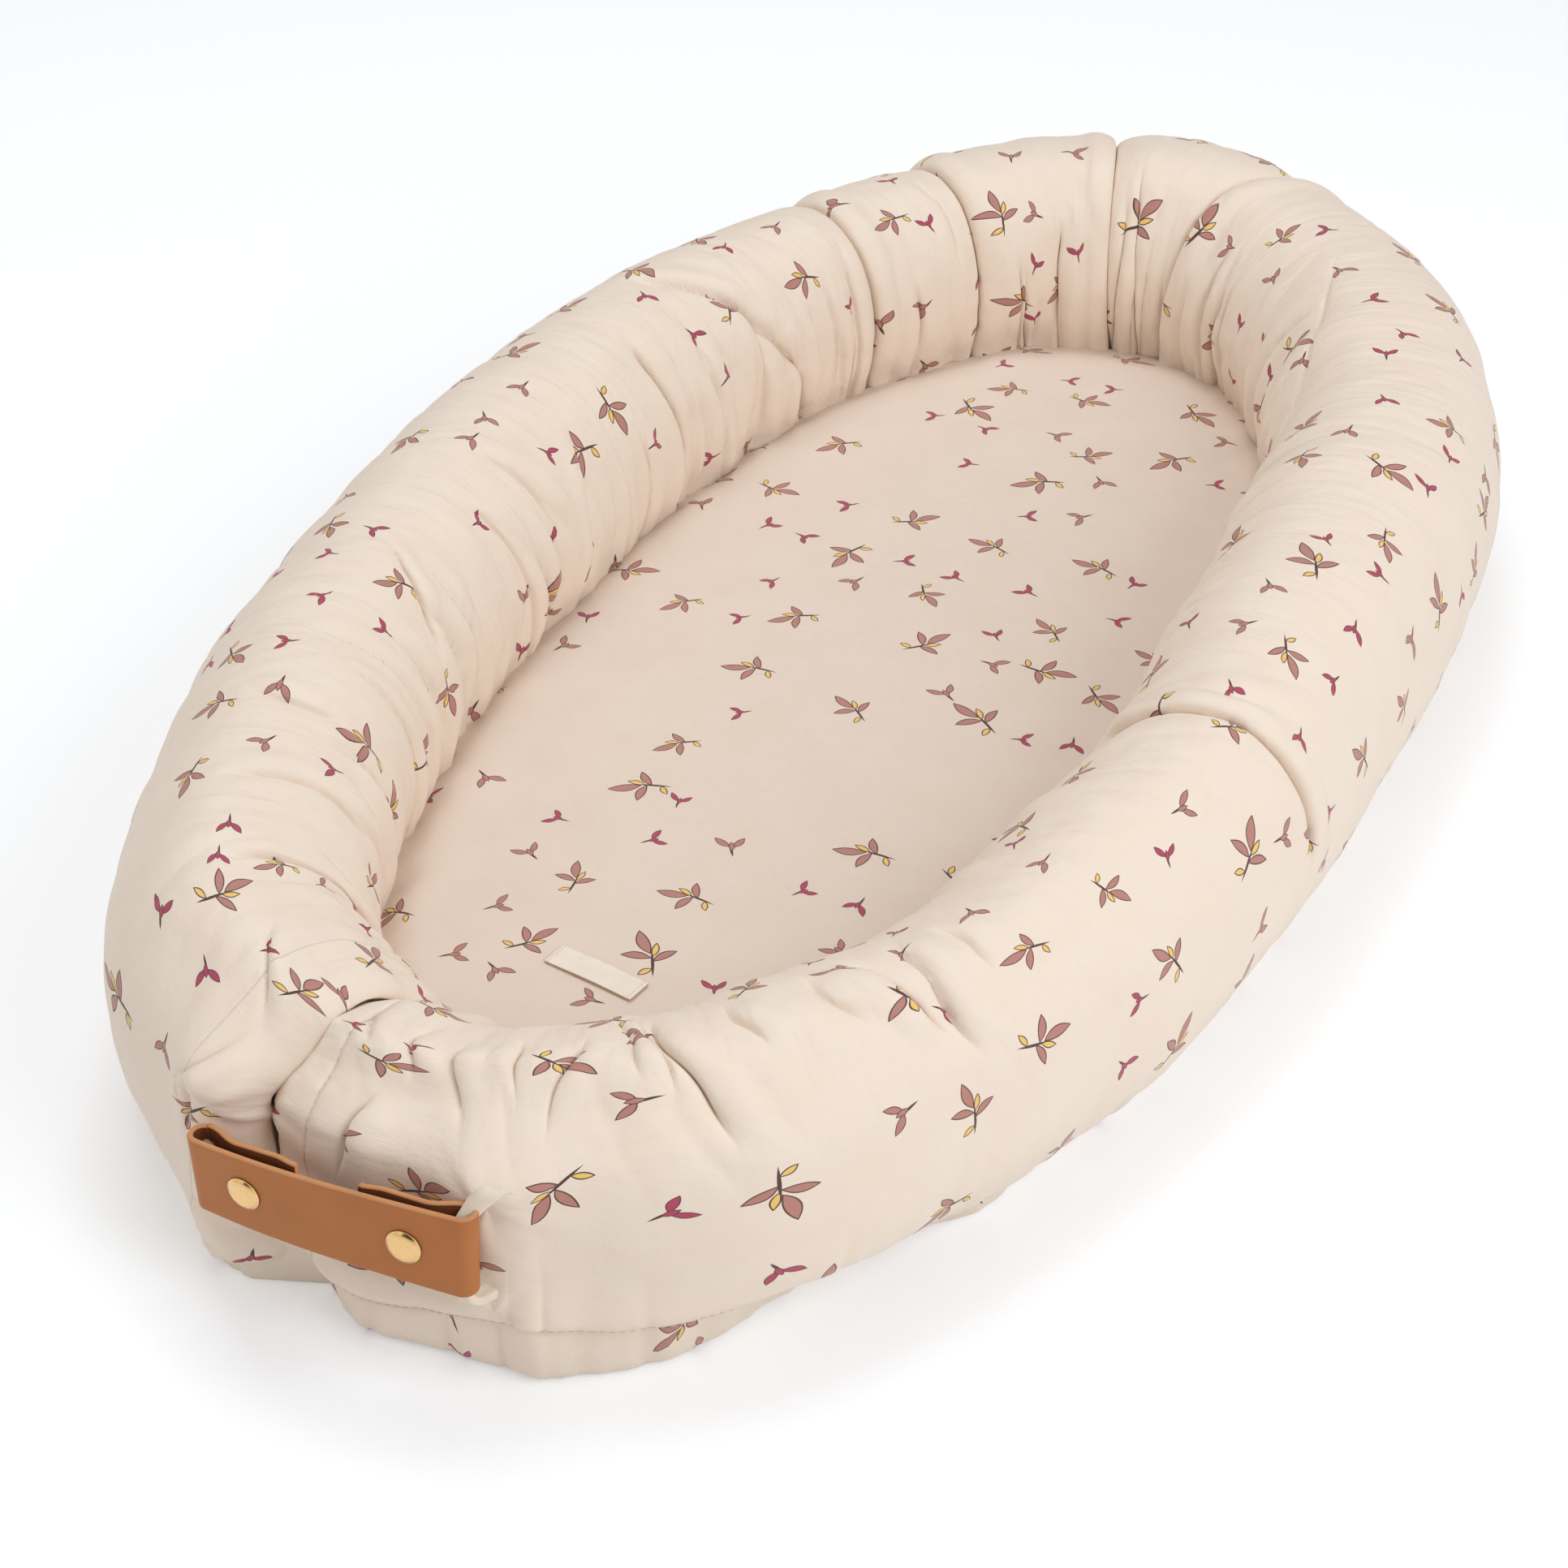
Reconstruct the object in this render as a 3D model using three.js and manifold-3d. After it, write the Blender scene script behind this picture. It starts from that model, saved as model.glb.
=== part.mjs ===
// Infant lounger: a padded oval roll round a thin mattress, closed at the foot end with a leather handle.
// Millimetres, +Z up. The head end lies towards +Y, the handle at the foot end towards -Y.
import * as THREE from 'three';
import { mergeVertices } from 'three/addons/utils/BufferGeometryUtils.js';
import Module from 'manifold-3d';

const wasm = await Module();
wasm.setup();

// Driving sizes of the roll
const PATH_HALF_LENGTH = 372;
const PATH_HALF_WIDTH = 182;
const ROLL_WIDTH = 102;
const ROLL_HEIGHT = 122;
const DOME_LENGTH = 46;
const END_SEAM = 25;
const CLEFT_X = -24;
const CLEFT_GAP = 1.2;
const GATHER_DEPTH = 6.5;

// Fabrics and paddings
const COVER_THICKNESS = 2;
const BASE_THICKNESS = 1.6;
const SHEET_THICKNESS = 1.5;
const SEAM_GAP = 0.3;
const PAD_GAP = 0.6;

// Mattress
const MATTRESS_EDGE_HEIGHT = 34;
const MATTRESS_SHOULDER = 3;
const MATTRESS_CROWN = 3.5;
const SHOULDER_WIDTH = 13;
const CORE_FOOT_INSET = 8;

// Label, a folded satin tape sewn flat on the mattress
const LABEL_LENGTH = 40;
const LABEL_WIDTH = 11.5;
const LABEL_THICKNESS = 0.6;
const LABEL_FROM_FOOT = 112;
const LABEL_OFFSET = 3;
const LABEL_TURN = THREE.MathUtils.degToRad(-8);

// Handle strap
const STRAP_WIDTH = 32;
const LEATHER = 2;
const STRAP_HALF_SPAN = 50;
const STRAP_BOW = 2;
const STRAP_STANDOFF = 11;
const STRAP_HEIGHT = 64;
const FOLD_INNER_GAP = 6;
const FOLD_GAP = 0.3;
const TAIL_TIP_X = 12;
const TAIL_REACH = 12;

// Fabric bars that carry the strap
const LOOP_WIDTH = 6;
const LOOP_THICKNESS = 3.6;
const LOOP_OVERRUN = 2;
const LOOP_RISE = 6;
const LOOP_BEND = 1.5;

// Press studs
const SNAP_X = 31;
const CAP_DIAMETER = 13;
const CAP_RIM = 0.7;
const CAP_DOME = 0.8;
const BARREL_DIAMETER = 3.4;
const LEATHER_HOLE = 4;
const SOCKET_DIAMETER = 10.5;
const SOCKET_HEIGHT = 1.7;
const SOCKET_BASE = 0.5;
const SOCKET_BORE = 5;
const STUD_DIAMETER = 9;
const STUD_FLANGE = 0.5;
const NIPPLE_DIAMETER = 4.2;
const POST_DIAMETER = 9.5;
const POST_FLANGE = 0.7;
const SNAP_GAP = 0.3;

// Shares of the path's half width and half length, from the foot round one side to the head
const PLAN_SHARES = [
  [0, -0.962], [0.275, -0.94], [0.522, -0.883], [0.806, -0.614], [0.951, -0.315], [1, -0.008],
  [0.977, 0.301], [0.852, 0.602], [0.548, 0.869], [0.291, 0.97], [0, 1],
];
// How deep each gather is cut, round the roll from the right end to the left end
const GATHER_SHARES = [
  0.7, 0.55, 0.35, 0.9, 0.45, 0.5, 0.35, 0.6, 0.75, 0.8, 0.9, 1,
  1, 1, 0.95, 0.85, 0.8, 0.6, 0.7, 0.5, 0.65, 0.45, 0.7, 0.8, 0.75,
];
const OUTER_GATHER_SHARE = 0.4;
const UPPER_SQUARE_SHARE = 0.95;
const LOWER_SQUARE_SHARE = 0.65;
const DOME_BLUNT_SHARE = 2.6;
const FLOOR_RIM_SHARE = 0.43;
const FLOOR_INSIDE_SHARE = 0.5;
const DOME_RING_SHARES = [0.8, 0.58, 0.36, 0.16];
const HEM_RING_SHARES = [0.75, 0.5, 0.25];
const CAP_RING_SHARES = [0, 0.35, 0.7];

// Angles round the roll's section, from the outer seam over the top to the inner seam
const OUTER_SEAM = THREE.MathUtils.degToRad(-50);
const INNER_SEAM = THREE.MathUtils.degToRad(225);
const BELLY = THREE.MathUtils.degToRad(-66);

// Counts of steps along curves
const PLAN_DIVISIONS = 1200;
const SECTION_STEPS = 10;
const ROUND_STEPS = 28;
const STRAP_STEPS = 12;
const TAIL_STEPS = 8;
const LOOP_STEPS = 16;
const SEARCH_STEPS = 40;

const halfWidth = ROLL_WIDTH / 2;
const halfHeight = ROLL_HEIGHT / 2;
const halfLeather = LEATHER / 2;
const turn = 2 * Math.PI;

// The closed line that the middle of the roll follows, seen from above
function makePlan() {
  const place = ([x, y]) => new THREE.Vector3(x * PATH_HALF_WIDTH, y * PATH_HALF_LENGTH, 0);
  const oneSide = PLAN_SHARES.map(place);
  const otherSide = oneSide.slice(1, -1).reverse().map((p) => new THREE.Vector3(-p.x, p.y, 0));
  const plan = new THREE.CatmullRomCurve3([...oneSide, ...otherSide], true, 'centripetal');
  plan.arcLengthDivisions = PLAN_DIVISIONS;
  return plan;
}
const plan = makePlan();
const planLength = plan.getLength();
const rightEnd = CLEFT_X + CLEFT_GAP / 2;
const leftEnd = planLength + CLEFT_X - CLEFT_GAP / 2;

// Place and outward direction on the plan line, at a distance from the foot's middle
function planFrame(distance) {
  const u = THREE.MathUtils.euclideanModulo(distance / planLength, 1);
  const along = plan.getTangentAt(u);
  return { place: plan.getPointAt(u), outward: new THREE.Vector3(along.y, -along.x, 0) };
}

// How far the roll's rounded end has swelled, from 0 at its tip to 1 where it is full
function domeSwell(distance, inset) {
  const fromEnd = Math.min(distance - rightEnd, leftEnd - distance) - inset;
  const short = 1 - THREE.MathUtils.clamp(fromEnd / (DOME_LENGTH - inset), 0, 1);
  return (1 - short ** DOME_BLUNT_SHARE) ** (1 / DOME_BLUNT_SHARE);
}

function squared(value, share) {
  return Math.sign(value) * Math.abs(value) ** share;
}

// A point of the roll's skin, at an angle round its section and a depth below the fabric's face
function rollPoint(station, angle, inset) {
  const { place, outward } = planFrame(station.distance);
  const swell = domeSwell(station.distance, inset);
  const inward = (1 - Math.cos(angle)) / 2;
  const depth = station.gather * THREE.MathUtils.lerp(OUTER_GATHER_SHARE, 1, inward);
  const share = Math.sin(angle) < 0 ? LOWER_SQUARE_SHARE : UPPER_SQUARE_SHARE;
  const out = squared(Math.cos(angle), share) * (halfWidth - inset - depth) * swell;
  const up = squared(Math.sin(angle), share) * (halfHeight - inset - depth) * swell;
  return place.clone().addScaledVector(outward, out).setZ(halfHeight + up);
}

// Stations along the covered roll: the end seams, the swelling ends, then gathers and puffs in turn
function makeStations() {
  const from = rightEnd + DOME_LENGTH;
  const to = leftEnd - DOME_LENGTH;
  const half = (DOME_LENGTH - END_SEAM) / 2;
  const step = (to - from) / (2 * GATHER_SHARES.length);
  const stations = [{ distance: rightEnd + END_SEAM, gather: 0 }, { distance: from - half, gather: 0 }];
  for (let i = 0; i <= 2 * GATHER_SHARES.length; i += 1) {
    const share = i % 2 === 1 ? GATHER_SHARES[(i - 1) / 2] : 0;
    stations.push({ distance: from + i * step, gather: share * GATHER_DEPTH });
  }
  stations.push({ distance: to + half, gather: 0 }, { distance: leftEnd - END_SEAM, gather: 0 });
  return stations;
}
const stations = makeStations();

// Rings from an end seam in to the tip, for the rounded ends
function endStations(side) {
  const seam = side > 0 ? rightEnd + END_SEAM : leftEnd - END_SEAM;
  return DOME_RING_SHARES.map((share) => ({ distance: seam - side * END_SEAM * (1 - share), gather: 0 }));
}
const rightRings = endStations(1);
const leftRings = endStations(-1);

function geometryFrom(points, faces) {
  const geometry = new THREE.BufferGeometry();
  geometry.setAttribute('position', new THREE.Float32BufferAttribute(points.flatMap((p) => p.toArray()), 3));
  geometry.setIndex(faces.flat());
  return geometry;
}

// Turns a closed mesh inside out if its faces point inwards
function facingOut(geometry) {
  const position = geometry.getAttribute('position');
  const index = geometry.getIndex();
  const [a, b, c] = [new THREE.Vector3(), new THREE.Vector3(), new THREE.Vector3()];
  let volume = 0;
  for (let i = 0; i < index.count; i += 3) {
    [a, b, c].forEach((corner, k) => corner.fromBufferAttribute(position, index.getX(i + k)));
    volume += a.dot(b.cross(c));
  }
  if (volume < 0) {
    for (let i = 0; i < index.count; i += 3) {
      const first = index.getX(i);
      index.setX(i, index.getX(i + 1));
      index.setX(i + 1, first);
    }
  }
  return geometry;
}

// Joins a row of rings with equal counts of points, each end closed flat or drawn to a point.
// crossed says which squares take the other diagonal, so that skins one inside the other stay apart.
function loft(rings, tips, crossed) {
  const count = rings[0].length;
  const points = rings.flat();
  const faces = [];
  for (let i = 0; i < rings.length - 1; i += 1) {
    for (let j = 0; j < count; j += 1) {
      const a = i * count + j;
      const b = i * count + ((j + 1) % count);
      const [c, d] = [a + count, b + count];
      faces.push(...(crossed(i, j) ? [[a, c, d], [a, d, b]] : [[a, c, b], [b, c, d]]));
    }
  }
  tips.forEach((tip, end) => {
    const first = end * (rings.length - 1) * count;
    const face = (a, b, c) => faces.push(end === 0 ? [a, b, c] : [a, c, b]);
    if (tip.flat) {
      THREE.ShapeUtils.triangulateShape(tip.flat, []).forEach((f) => face(...f.map((j) => first + j)));
    } else {
      const middle = points.push(tip.point) - 1;
      for (let j = 0; j < count; j += 1) face(first + j, first + ((j + 1) % count), middle);
    }
  });
  return facingOut(geometryFrom(points, faces));
}

// A ring flattened into its own section plane, for closing an end
function flatten(ring, distance) {
  const { place, outward } = planFrame(distance);
  return ring.map((p) => new THREE.Vector2(p.clone().sub(place).dot(outward), p.z));
}

const coverAngles = [...Array(SECTION_STEPS + 1).keys()]
  .map((i) => THREE.MathUtils.lerp(OUTER_SEAM, INNER_SEAM, i / SECTION_STEPS));
const floorAngles = [1, 2].map((i) => THREE.MathUtils.lerp(INNER_SEAM, OUTER_SEAM + turn, i / 3));
const roundAngles = [...coverAngles, ...floorAngles];

// The roll's casing: a shell open along the floor, from the outer seam over the top to the inner seam
function bolsterCover() {
  const rings = stations.map((station) => [
    ...coverAngles.map((angle) => rollPoint(station, angle, 0)),
    ...[...coverAngles].reverse().map((angle) => rollPoint(station, angle, COVER_THICKNESS)),
  ]);
  const last = rings.length - 1;
  const tips = [
    { flat: flatten(rings[0], stations[0].distance) },
    { flat: flatten(rings[last], stations[last].distance) },
  ];
  return loft(rings, tips, (i, j) => j > SECTION_STEPS);
}

// The fibre inside the roll, with the same gathers
function bolsterFill() {
  const inset = COVER_THICKNESS + PAD_GAP;
  const floor = BASE_THICKNESS + PAD_GAP;
  const outer = FLOOR_RIM_SHARE * halfWidth - floor;
  const body = (station) => {
    const { place, outward } = planFrame(station.distance);
    const swell = domeSwell(station.distance, inset);
    const bottom = (out) => place.clone().addScaledVector(outward, out * swell);
    const low = halfHeight - (halfHeight - floor) * swell;
    return [
      ...coverAngles.map((angle) => rollPoint(station, angle, inset)),
      bottom(-FLOOR_INSIDE_SHARE * halfWidth).setZ(low),
      bottom(outer).setZ(low),
    ];
  };
  const round = (station) => roundAngles.map((angle) => rollPoint(station, angle, inset));
  const tip = (end) => ({ point: planFrame(end).place.clone().setZ(halfHeight) });
  const rights = [...[...rightRings].reverse(), stations[0]];
  const lefts = [stations[stations.length - 1], ...leftRings];
  const rings = [...rights.map(round), ...stations.slice(1, -1).map(body), ...lefts.map(round)];
  return loft(rings, [tip(rightEnd + inset), tip(leftEnd - inset)], () => false);
}

// The cloth that closes a rounded end of the roll, a cup that meets the casing at the end seam
function endPanel(side) {
  const seam = side > 0 ? rightEnd + END_SEAM : leftEnd - END_SEAM;
  const rim = { distance: seam - side * SEAM_GAP, gather: 0 };
  const rings = [rim, ...(side > 0 ? rightRings : leftRings)];
  const tip = side > 0 ? rightEnd : leftEnd;
  const skin = (ring, inset) => roundAngles.map((angle) => rollPoint(ring, angle, inset));
  const outside = rings.map((ring) => skin(ring, 0));
  const inside = rings.map((ring) => skin(ring, COVER_THICKNESS));
  const pole = (inset) => ({ point: planFrame(tip + side * inset).place.clone().setZ(halfHeight) });
  const cup = [...inside.reverse(), ...outside];
  return loft(cup, [pole(COVER_THICKNESS), pole(0)], (i) => (i < rings.length) !== side > 0);
}

// Stations all round the oval, marked as hem where the two rounded ends meet
function makeRimStations() {
  const gap = planLength - (stations[stations.length - 1].distance - stations[0].distance);
  const hems = HEM_RING_SHARES.map((share) => ({ distance: stations[0].distance - gap * share, hem: true }));
  const seams = [stations[stations.length - 1], stations[0]].map((station) => ({ ...station, hem: true }));
  return [...stations.slice(1, -1), seams[0], ...hems, seams[1]];
}
const rimStations = makeRimStations();

// The bottom panel: flat on the floor, its edge turned up round the roll's belly to the outer seam
function basePanel() {
  const seamAngle = OUTER_SEAM - SEAM_GAP / halfHeight;
  const row = (station) => {
    const { place, outward } = planFrame(station.distance);
    const out = (r, z) => place.clone().addScaledVector(outward, r).setZ(z);
    const floorRim = FLOOR_RIM_SHARE * halfWidth;
    if (station.hem) {
      const lip = floorRim + BASE_THICKNESS;
      return [
        out(floorRim, 0), out(lip, BASE_THICKNESS), out(lip, 2 * BASE_THICKNESS),
        out(floorRim, 2 * BASE_THICKNESS), out(floorRim - BASE_THICKNESS / 2, 1.5 * BASE_THICKNESS),
        out(floorRim - BASE_THICKNESS, BASE_THICKNESS),
      ];
    }
    const smooth = { ...station, gather: 0 };
    return [
      out(floorRim, 0), rollPoint(smooth, BELLY, 0), rollPoint(station, seamAngle, 0),
      rollPoint(station, seamAngle, BASE_THICKNESS), rollPoint(smooth, BELLY, BASE_THICKNESS),
      out(floorRim - BASE_THICKNESS, BASE_THICKNESS),
    ];
  };
  return dish(rimStations.map(row), 0, BASE_THICKNESS);
}

// A closed plate from one row of points per station, lower middle to upper middle, filled to the centre
function dish(rows, lowMiddle, highMiddle) {
  const count = rows[0].length;
  const points = rows.flat();
  const low = points.push(new THREE.Vector3(0, 0, lowMiddle)) - 1;
  const high = points.push(new THREE.Vector3(0, 0, highMiddle)) - 1;
  const faces = [];
  rows.forEach((row, i) => {
    const here = i * count;
    const next = ((i + 1) % rows.length) * count;
    faces.push([low, next, here], [high, here + count - 1, next + count - 1]);
    for (let j = 0; j < count - 1; j += 1) {
      faces.push([here + j, next + j, here + j + 1], [here + j + 1, next + j, next + j + 1]);
    }
  });
  return facingOut(geometryFrom(points, faces));
}

// How far the roll's inner wall stands in from the plan line at the mattress edge
function wallAt(height) {
  const angle = Math.PI + Math.asin(((halfHeight - height) / halfHeight) ** (1 / LOWER_SQUARE_SHARE));
  return Math.abs(squared(Math.cos(angle), LOWER_SQUARE_SHARE)) * halfWidth;
}

function insideRow(station, steps) {
  const { place, outward } = planFrame(station.distance);
  return steps.map(([inward, z]) => place.clone().addScaledVector(outward, -inward).setZ(z));
}

const mattressEdge = wallAt(MATTRESS_EDGE_HEIGHT) + PAD_GAP;

// The mattress's top cloth, laid over the core and tucked in at the roll
function mattressSheet() {
  const top = MATTRESS_EDGE_HEIGHT + MATTRESS_SHOULDER;
  const under = top - SHEET_THICKNESS;
  const shoulder = mattressEdge + SHOULDER_WIDTH;
  const rows = rimStations.map((station) => insideRow(station, [
    [shoulder, under], [mattressEdge + SHEET_THICKNESS, MATTRESS_EDGE_HEIGHT - SHEET_THICKNESS],
    [mattressEdge, MATTRESS_EDGE_HEIGHT], [shoulder, top],
  ]));
  return dish(rows, under + MATTRESS_CROWN, top + MATTRESS_CROWN);
}

// The wadded mattress core between the top cloth and the bottom panel
function mattressCore() {
  const top = MATTRESS_EDGE_HEIGHT + MATTRESS_SHOULDER - SHEET_THICKNESS - PAD_GAP;
  const edge = mattressEdge + SHEET_THICKNESS + PAD_GAP;
  const shoulder = mattressEdge + SHOULDER_WIDTH;
  const foot = edge - CORE_FOOT_INSET;
  const floor = BASE_THICKNESS + PAD_GAP;
  const rows = rimStations.map((station) => insideRow(station, [
    [foot, floor], [edge, MATTRESS_EDGE_HEIGHT - SHEET_THICKNESS - PAD_GAP], [shoulder, top],
  ]));
  return dish(rows, floor, top + MATTRESS_CROWN);
}

// A solid of a closed mesh, for cutting
function solidOf(geometry) {
  const bare = geometry.clone();
  ['normal', 'uv'].filter((name) => bare.hasAttribute(name)).forEach((name) => bare.deleteAttribute(name));
  const merged = mergeVertices(bare);
  return new wasm.Manifold(new wasm.Mesh({
    numProp: 3,
    vertProperties: new Float32Array(merged.getAttribute('position').array),
    triVerts: new Uint32Array(merged.getIndex().array),
  }));
}

function geometryOf(solid) {
  const mesh = solid.getMesh();
  const geometry = new THREE.BufferGeometry();
  geometry.setAttribute('position', new THREE.Float32BufferAttribute(mesh.vertProperties, 3));
  geometry.setIndex([...mesh.triVerts]);
  return geometry;
}

// The strap is drawn from above and raised to its width
const strapFrontY = planFrame(0).place.y - halfWidth - STRAP_STANDOFF;
const foldRadius = (FOLD_INNER_GAP + LEATHER) / 2;
const tailStartY = strapFrontY + 2 * foldRadius;
const leatherGap = SOCKET_HEIGHT + STUD_FLANGE + 3 * SNAP_GAP;

// The front's middle line bows outwards between the two folds
function frontLine(x) {
  return strapFrontY - STRAP_BOW * (1 - (x / STRAP_HALF_SPAN) ** 2);
}

function snapFrame(side) {
  const slope = (2 * STRAP_BOW * SNAP_X) / STRAP_HALF_SPAN ** 2;
  return { x: side * SNAP_X, y: frontLine(SNAP_X), lean: side * Math.atan(slope) };
}

// A band of even thickness along a line of points seen from above
function band(line, thickness) {
  const left = [];
  const right = [];
  line.forEach((point, i) => {
    const before = line[Math.max(i - 1, 0)];
    const after = line[Math.min(i + 1, line.length - 1)];
    const along = after.clone().sub(before).normalize();
    const across = new THREE.Vector2(-along.y, along.x).multiplyScalar(thickness / 2);
    left.push(point.clone().add(across));
    right.push(point.clone().sub(across));
  });
  const shape = new THREE.Shape([...left, ...right.reverse()]);
  const geometry = new THREE.ExtrudeGeometry(shape, { depth: STRAP_WIDTH, bevelEnabled: false });
  return geometry.translate(0, 0, STRAP_HEIGHT - STRAP_WIDTH / 2);
}

// A round piece turned about its own axis, which then points out of the strap's face
function turned(profile, side) {
  const snap = snapFrame(side);
  const geometry = new THREE.LatheGeometry(profile.map(([r, y]) => new THREE.Vector2(r, y)), ROUND_STEPS);
  return geometry.rotateX(Math.PI).rotateZ(snap.lean).translate(snap.x, snap.y, STRAP_HEIGHT);
}

function punch(geometry, side, from, to) {
  const r = LEATHER_HOLE / 2;
  const tool = turned([[0, from], [r, from], [r, to], [0, to]], side);
  return geometryOf(solidOf(geometry).subtract(solidOf(tool)));
}

// The strap's front, with the fold round each fabric bar
function strapFront() {
  const line = [...Array(STRAP_STEPS + 1).keys()].map((i) => {
    const x = THREE.MathUtils.lerp(-STRAP_HALF_SPAN, STRAP_HALF_SPAN, i / STRAP_STEPS);
    return new THREE.Vector2(x, frontLine(x));
  });
  const fold = (side) => [...Array(STRAP_STEPS).keys()].map((i) => {
    const a = ((i + 1) / STRAP_STEPS) * (Math.PI - FOLD_GAP / foldRadius) - Math.PI / 2;
    return new THREE.Vector2(
      side * (STRAP_HALF_SPAN + foldRadius * Math.cos(a)), strapFrontY + foldRadius * (1 + Math.sin(a)),
    );
  });
  const strip = band([...fold(-1).reverse(), ...line, ...fold(1)], LEATHER);
  return [-1, 1].reduce((geometry, side) => punch(geometry, side, -LEATHER, LEATHER), strip);
}

// A tail goes back from the fold, behind the bar, and lies along the front at its press stud
function strapTail(side) {
  const snap = snapFrame(side);
  const behind = LEATHER + leatherGap;
  const near = new THREE.Vector2(side * (SNAP_X + STUD_DIAMETER / 2), frontLine(SNAP_X) + behind);
  const start = new THREE.Vector2(side * STRAP_HALF_SPAN, tailStartY);
  const pull = TAIL_REACH / 2;
  const curve = new THREE.CubicBezierCurve(
    start, new THREE.Vector2(start.x - side * pull, start.y),
    new THREE.Vector2(near.x + side * pull, near.y), near,
  );
  const line = curve.getPoints(TAIL_STEPS);
  const tip = new THREE.Vector2(side * TAIL_TIP_X, frontLine(SNAP_X) + behind);
  line.push(new THREE.Vector2(side * SNAP_X, frontLine(SNAP_X) + behind), tip);
  const leather = band(line, LEATHER);
  return punch(leather, side, -(behind + LEATHER), -(behind - LEATHER));
}

// The press stud's domed cap, with the barrel that goes through the front leather
function snapCap(side) {
  const r = CAP_DIAMETER / 2;
  const face = halfLeather + SNAP_GAP;
  const end = -(halfLeather + SNAP_GAP + SOCKET_BASE);
  const dome = CAP_RING_SHARES.map((share) => [
    r * Math.cos((share * Math.PI) / 2), face + CAP_RIM + CAP_DOME * Math.sin((share * Math.PI) / 2),
  ]);
  return turned([
    [0, end], [BARREL_DIAMETER / 2, end], [BARREL_DIAMETER / 2, face], [r, face],
    ...dome, [0, face + CAP_RIM + CAP_DOME],
  ], side);
}

// The socket behind the front leather, a cup that the stud's nipple enters
function snapSocket(side) {
  const top = -(halfLeather + SNAP_GAP);
  const low = top - SOCKET_HEIGHT;
  const seat = top - SOCKET_BASE - SNAP_GAP / 2;
  const hole = LEATHER_HOLE / 2;
  const bore = SOCKET_BORE / 2;
  const r = SOCKET_DIAMETER / 2;
  return turned([
    [hole, top], [hole, seat], [bore, seat], [bore, low], [r, low], [r, top], [hole, top],
  ], side);
}

// The stud on the tail's front face
function snapStud(side) {
  const foot = -(halfLeather + leatherGap - SNAP_GAP);
  const flange = foot + STUD_FLANGE;
  const tip = -(halfLeather + SNAP_GAP + SOCKET_BASE + 2 * SNAP_GAP);
  const r = NIPPLE_DIAMETER / 2;
  const hole = BARREL_DIAMETER / 2 - SNAP_GAP;
  return turned([
    [hole, foot], [STUD_DIAMETER / 2, foot], [STUD_DIAMETER / 2, flange], [r, flange],
    [r, tip], [hole, tip], [hole, foot],
  ], side);
}

// The post that holds the stud from the tail's back
function snapPost(side) {
  const back = -(halfLeather + leatherGap + LEATHER + SNAP_GAP);
  const top = -(halfLeather + leatherGap - SNAP_GAP);
  const barrel = BARREL_DIAMETER / 2 - 2 * SNAP_GAP;
  return turned([
    [0, back - POST_FLANGE], [POST_DIAMETER / 2, back - POST_FLANGE], [POST_DIAMETER / 2, back],
    [barrel, back], [barrel, top], [0, top],
  ], side);
}

// The roll's outer face straight behind a place on the strap, by halving the stretch it lies in
function rollFaceY(x, height) {
  const angle = Math.asin(THREE.MathUtils.clamp((height - halfHeight) / halfHeight, -1, 1));
  const face = (distance) => rollPoint({ distance, gather: 0 }, angle, 0);
  let low = x < CLEFT_X ? leftEnd - 2 * DOME_LENGTH - planLength : rightEnd;
  let high = x < CLEFT_X ? leftEnd - planLength : rightEnd + 2 * DOME_LENGTH;
  for (let i = 0; i < SEARCH_STEPS; i += 1) {
    const middle = (low + high) / 2;
    const distance = middle < rightEnd ? middle + planLength : middle;
    if (face(distance).x < x) low = middle;
    else high = middle;
  }
  const distance = low < rightEnd ? low + planLength : low;
  return face(distance).y;
}

// A fabric bar against the inside of the strap's fold, sewn to the roll above and below the strap
function beltLoop(side) {
  const x = side * (STRAP_HALF_SPAN + FOLD_INNER_GAP / 2 - SEAM_GAP - LOOP_WIDTH / 2);
  const y = strapFrontY + foldRadius;
  const reach = STRAP_WIDTH / 2 + LOOP_OVERRUN;
  const path = new THREE.CurvePath();
  const point = (depth, height) => new THREE.Vector3(x, depth, height);
  const top = STRAP_HEIGHT + reach + LOOP_RISE;
  const bottom = STRAP_HEIGHT - reach - LOOP_RISE;
  const seat = SEAM_GAP + LOOP_THICKNESS / 4;
  const places = [
    point(rollFaceY(x, bottom) - seat, bottom),
    point(y, STRAP_HEIGHT - reach),
    point(y, STRAP_HEIGHT + reach),
    point(rollFaceY(x, top) - seat, top),
  ];
  path.add(new THREE.QuadraticBezierCurve3(places[0], point(y, bottom + LOOP_BEND), places[1]));
  path.add(new THREE.LineCurve3(places[1], places[2]));
  path.add(new THREE.QuadraticBezierCurve3(places[2], point(y, top - LOOP_BEND), places[3]));
  const r = LOOP_THICKNESS / 2;
  const shape = new THREE.Shape();
  const flat = LOOP_WIDTH / 2 - r;
  shape.absarc(flat, 0, r, -Math.PI / 2, Math.PI / 2, false);
  shape.absarc(-flat, 0, r, Math.PI / 2, 1.5 * Math.PI, false);
  return new THREE.ExtrudeGeometry(shape, {
    steps: LOOP_STEPS, curveSegments: 3, bevelEnabled: false, extrudePath: path,
  });
}

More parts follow.
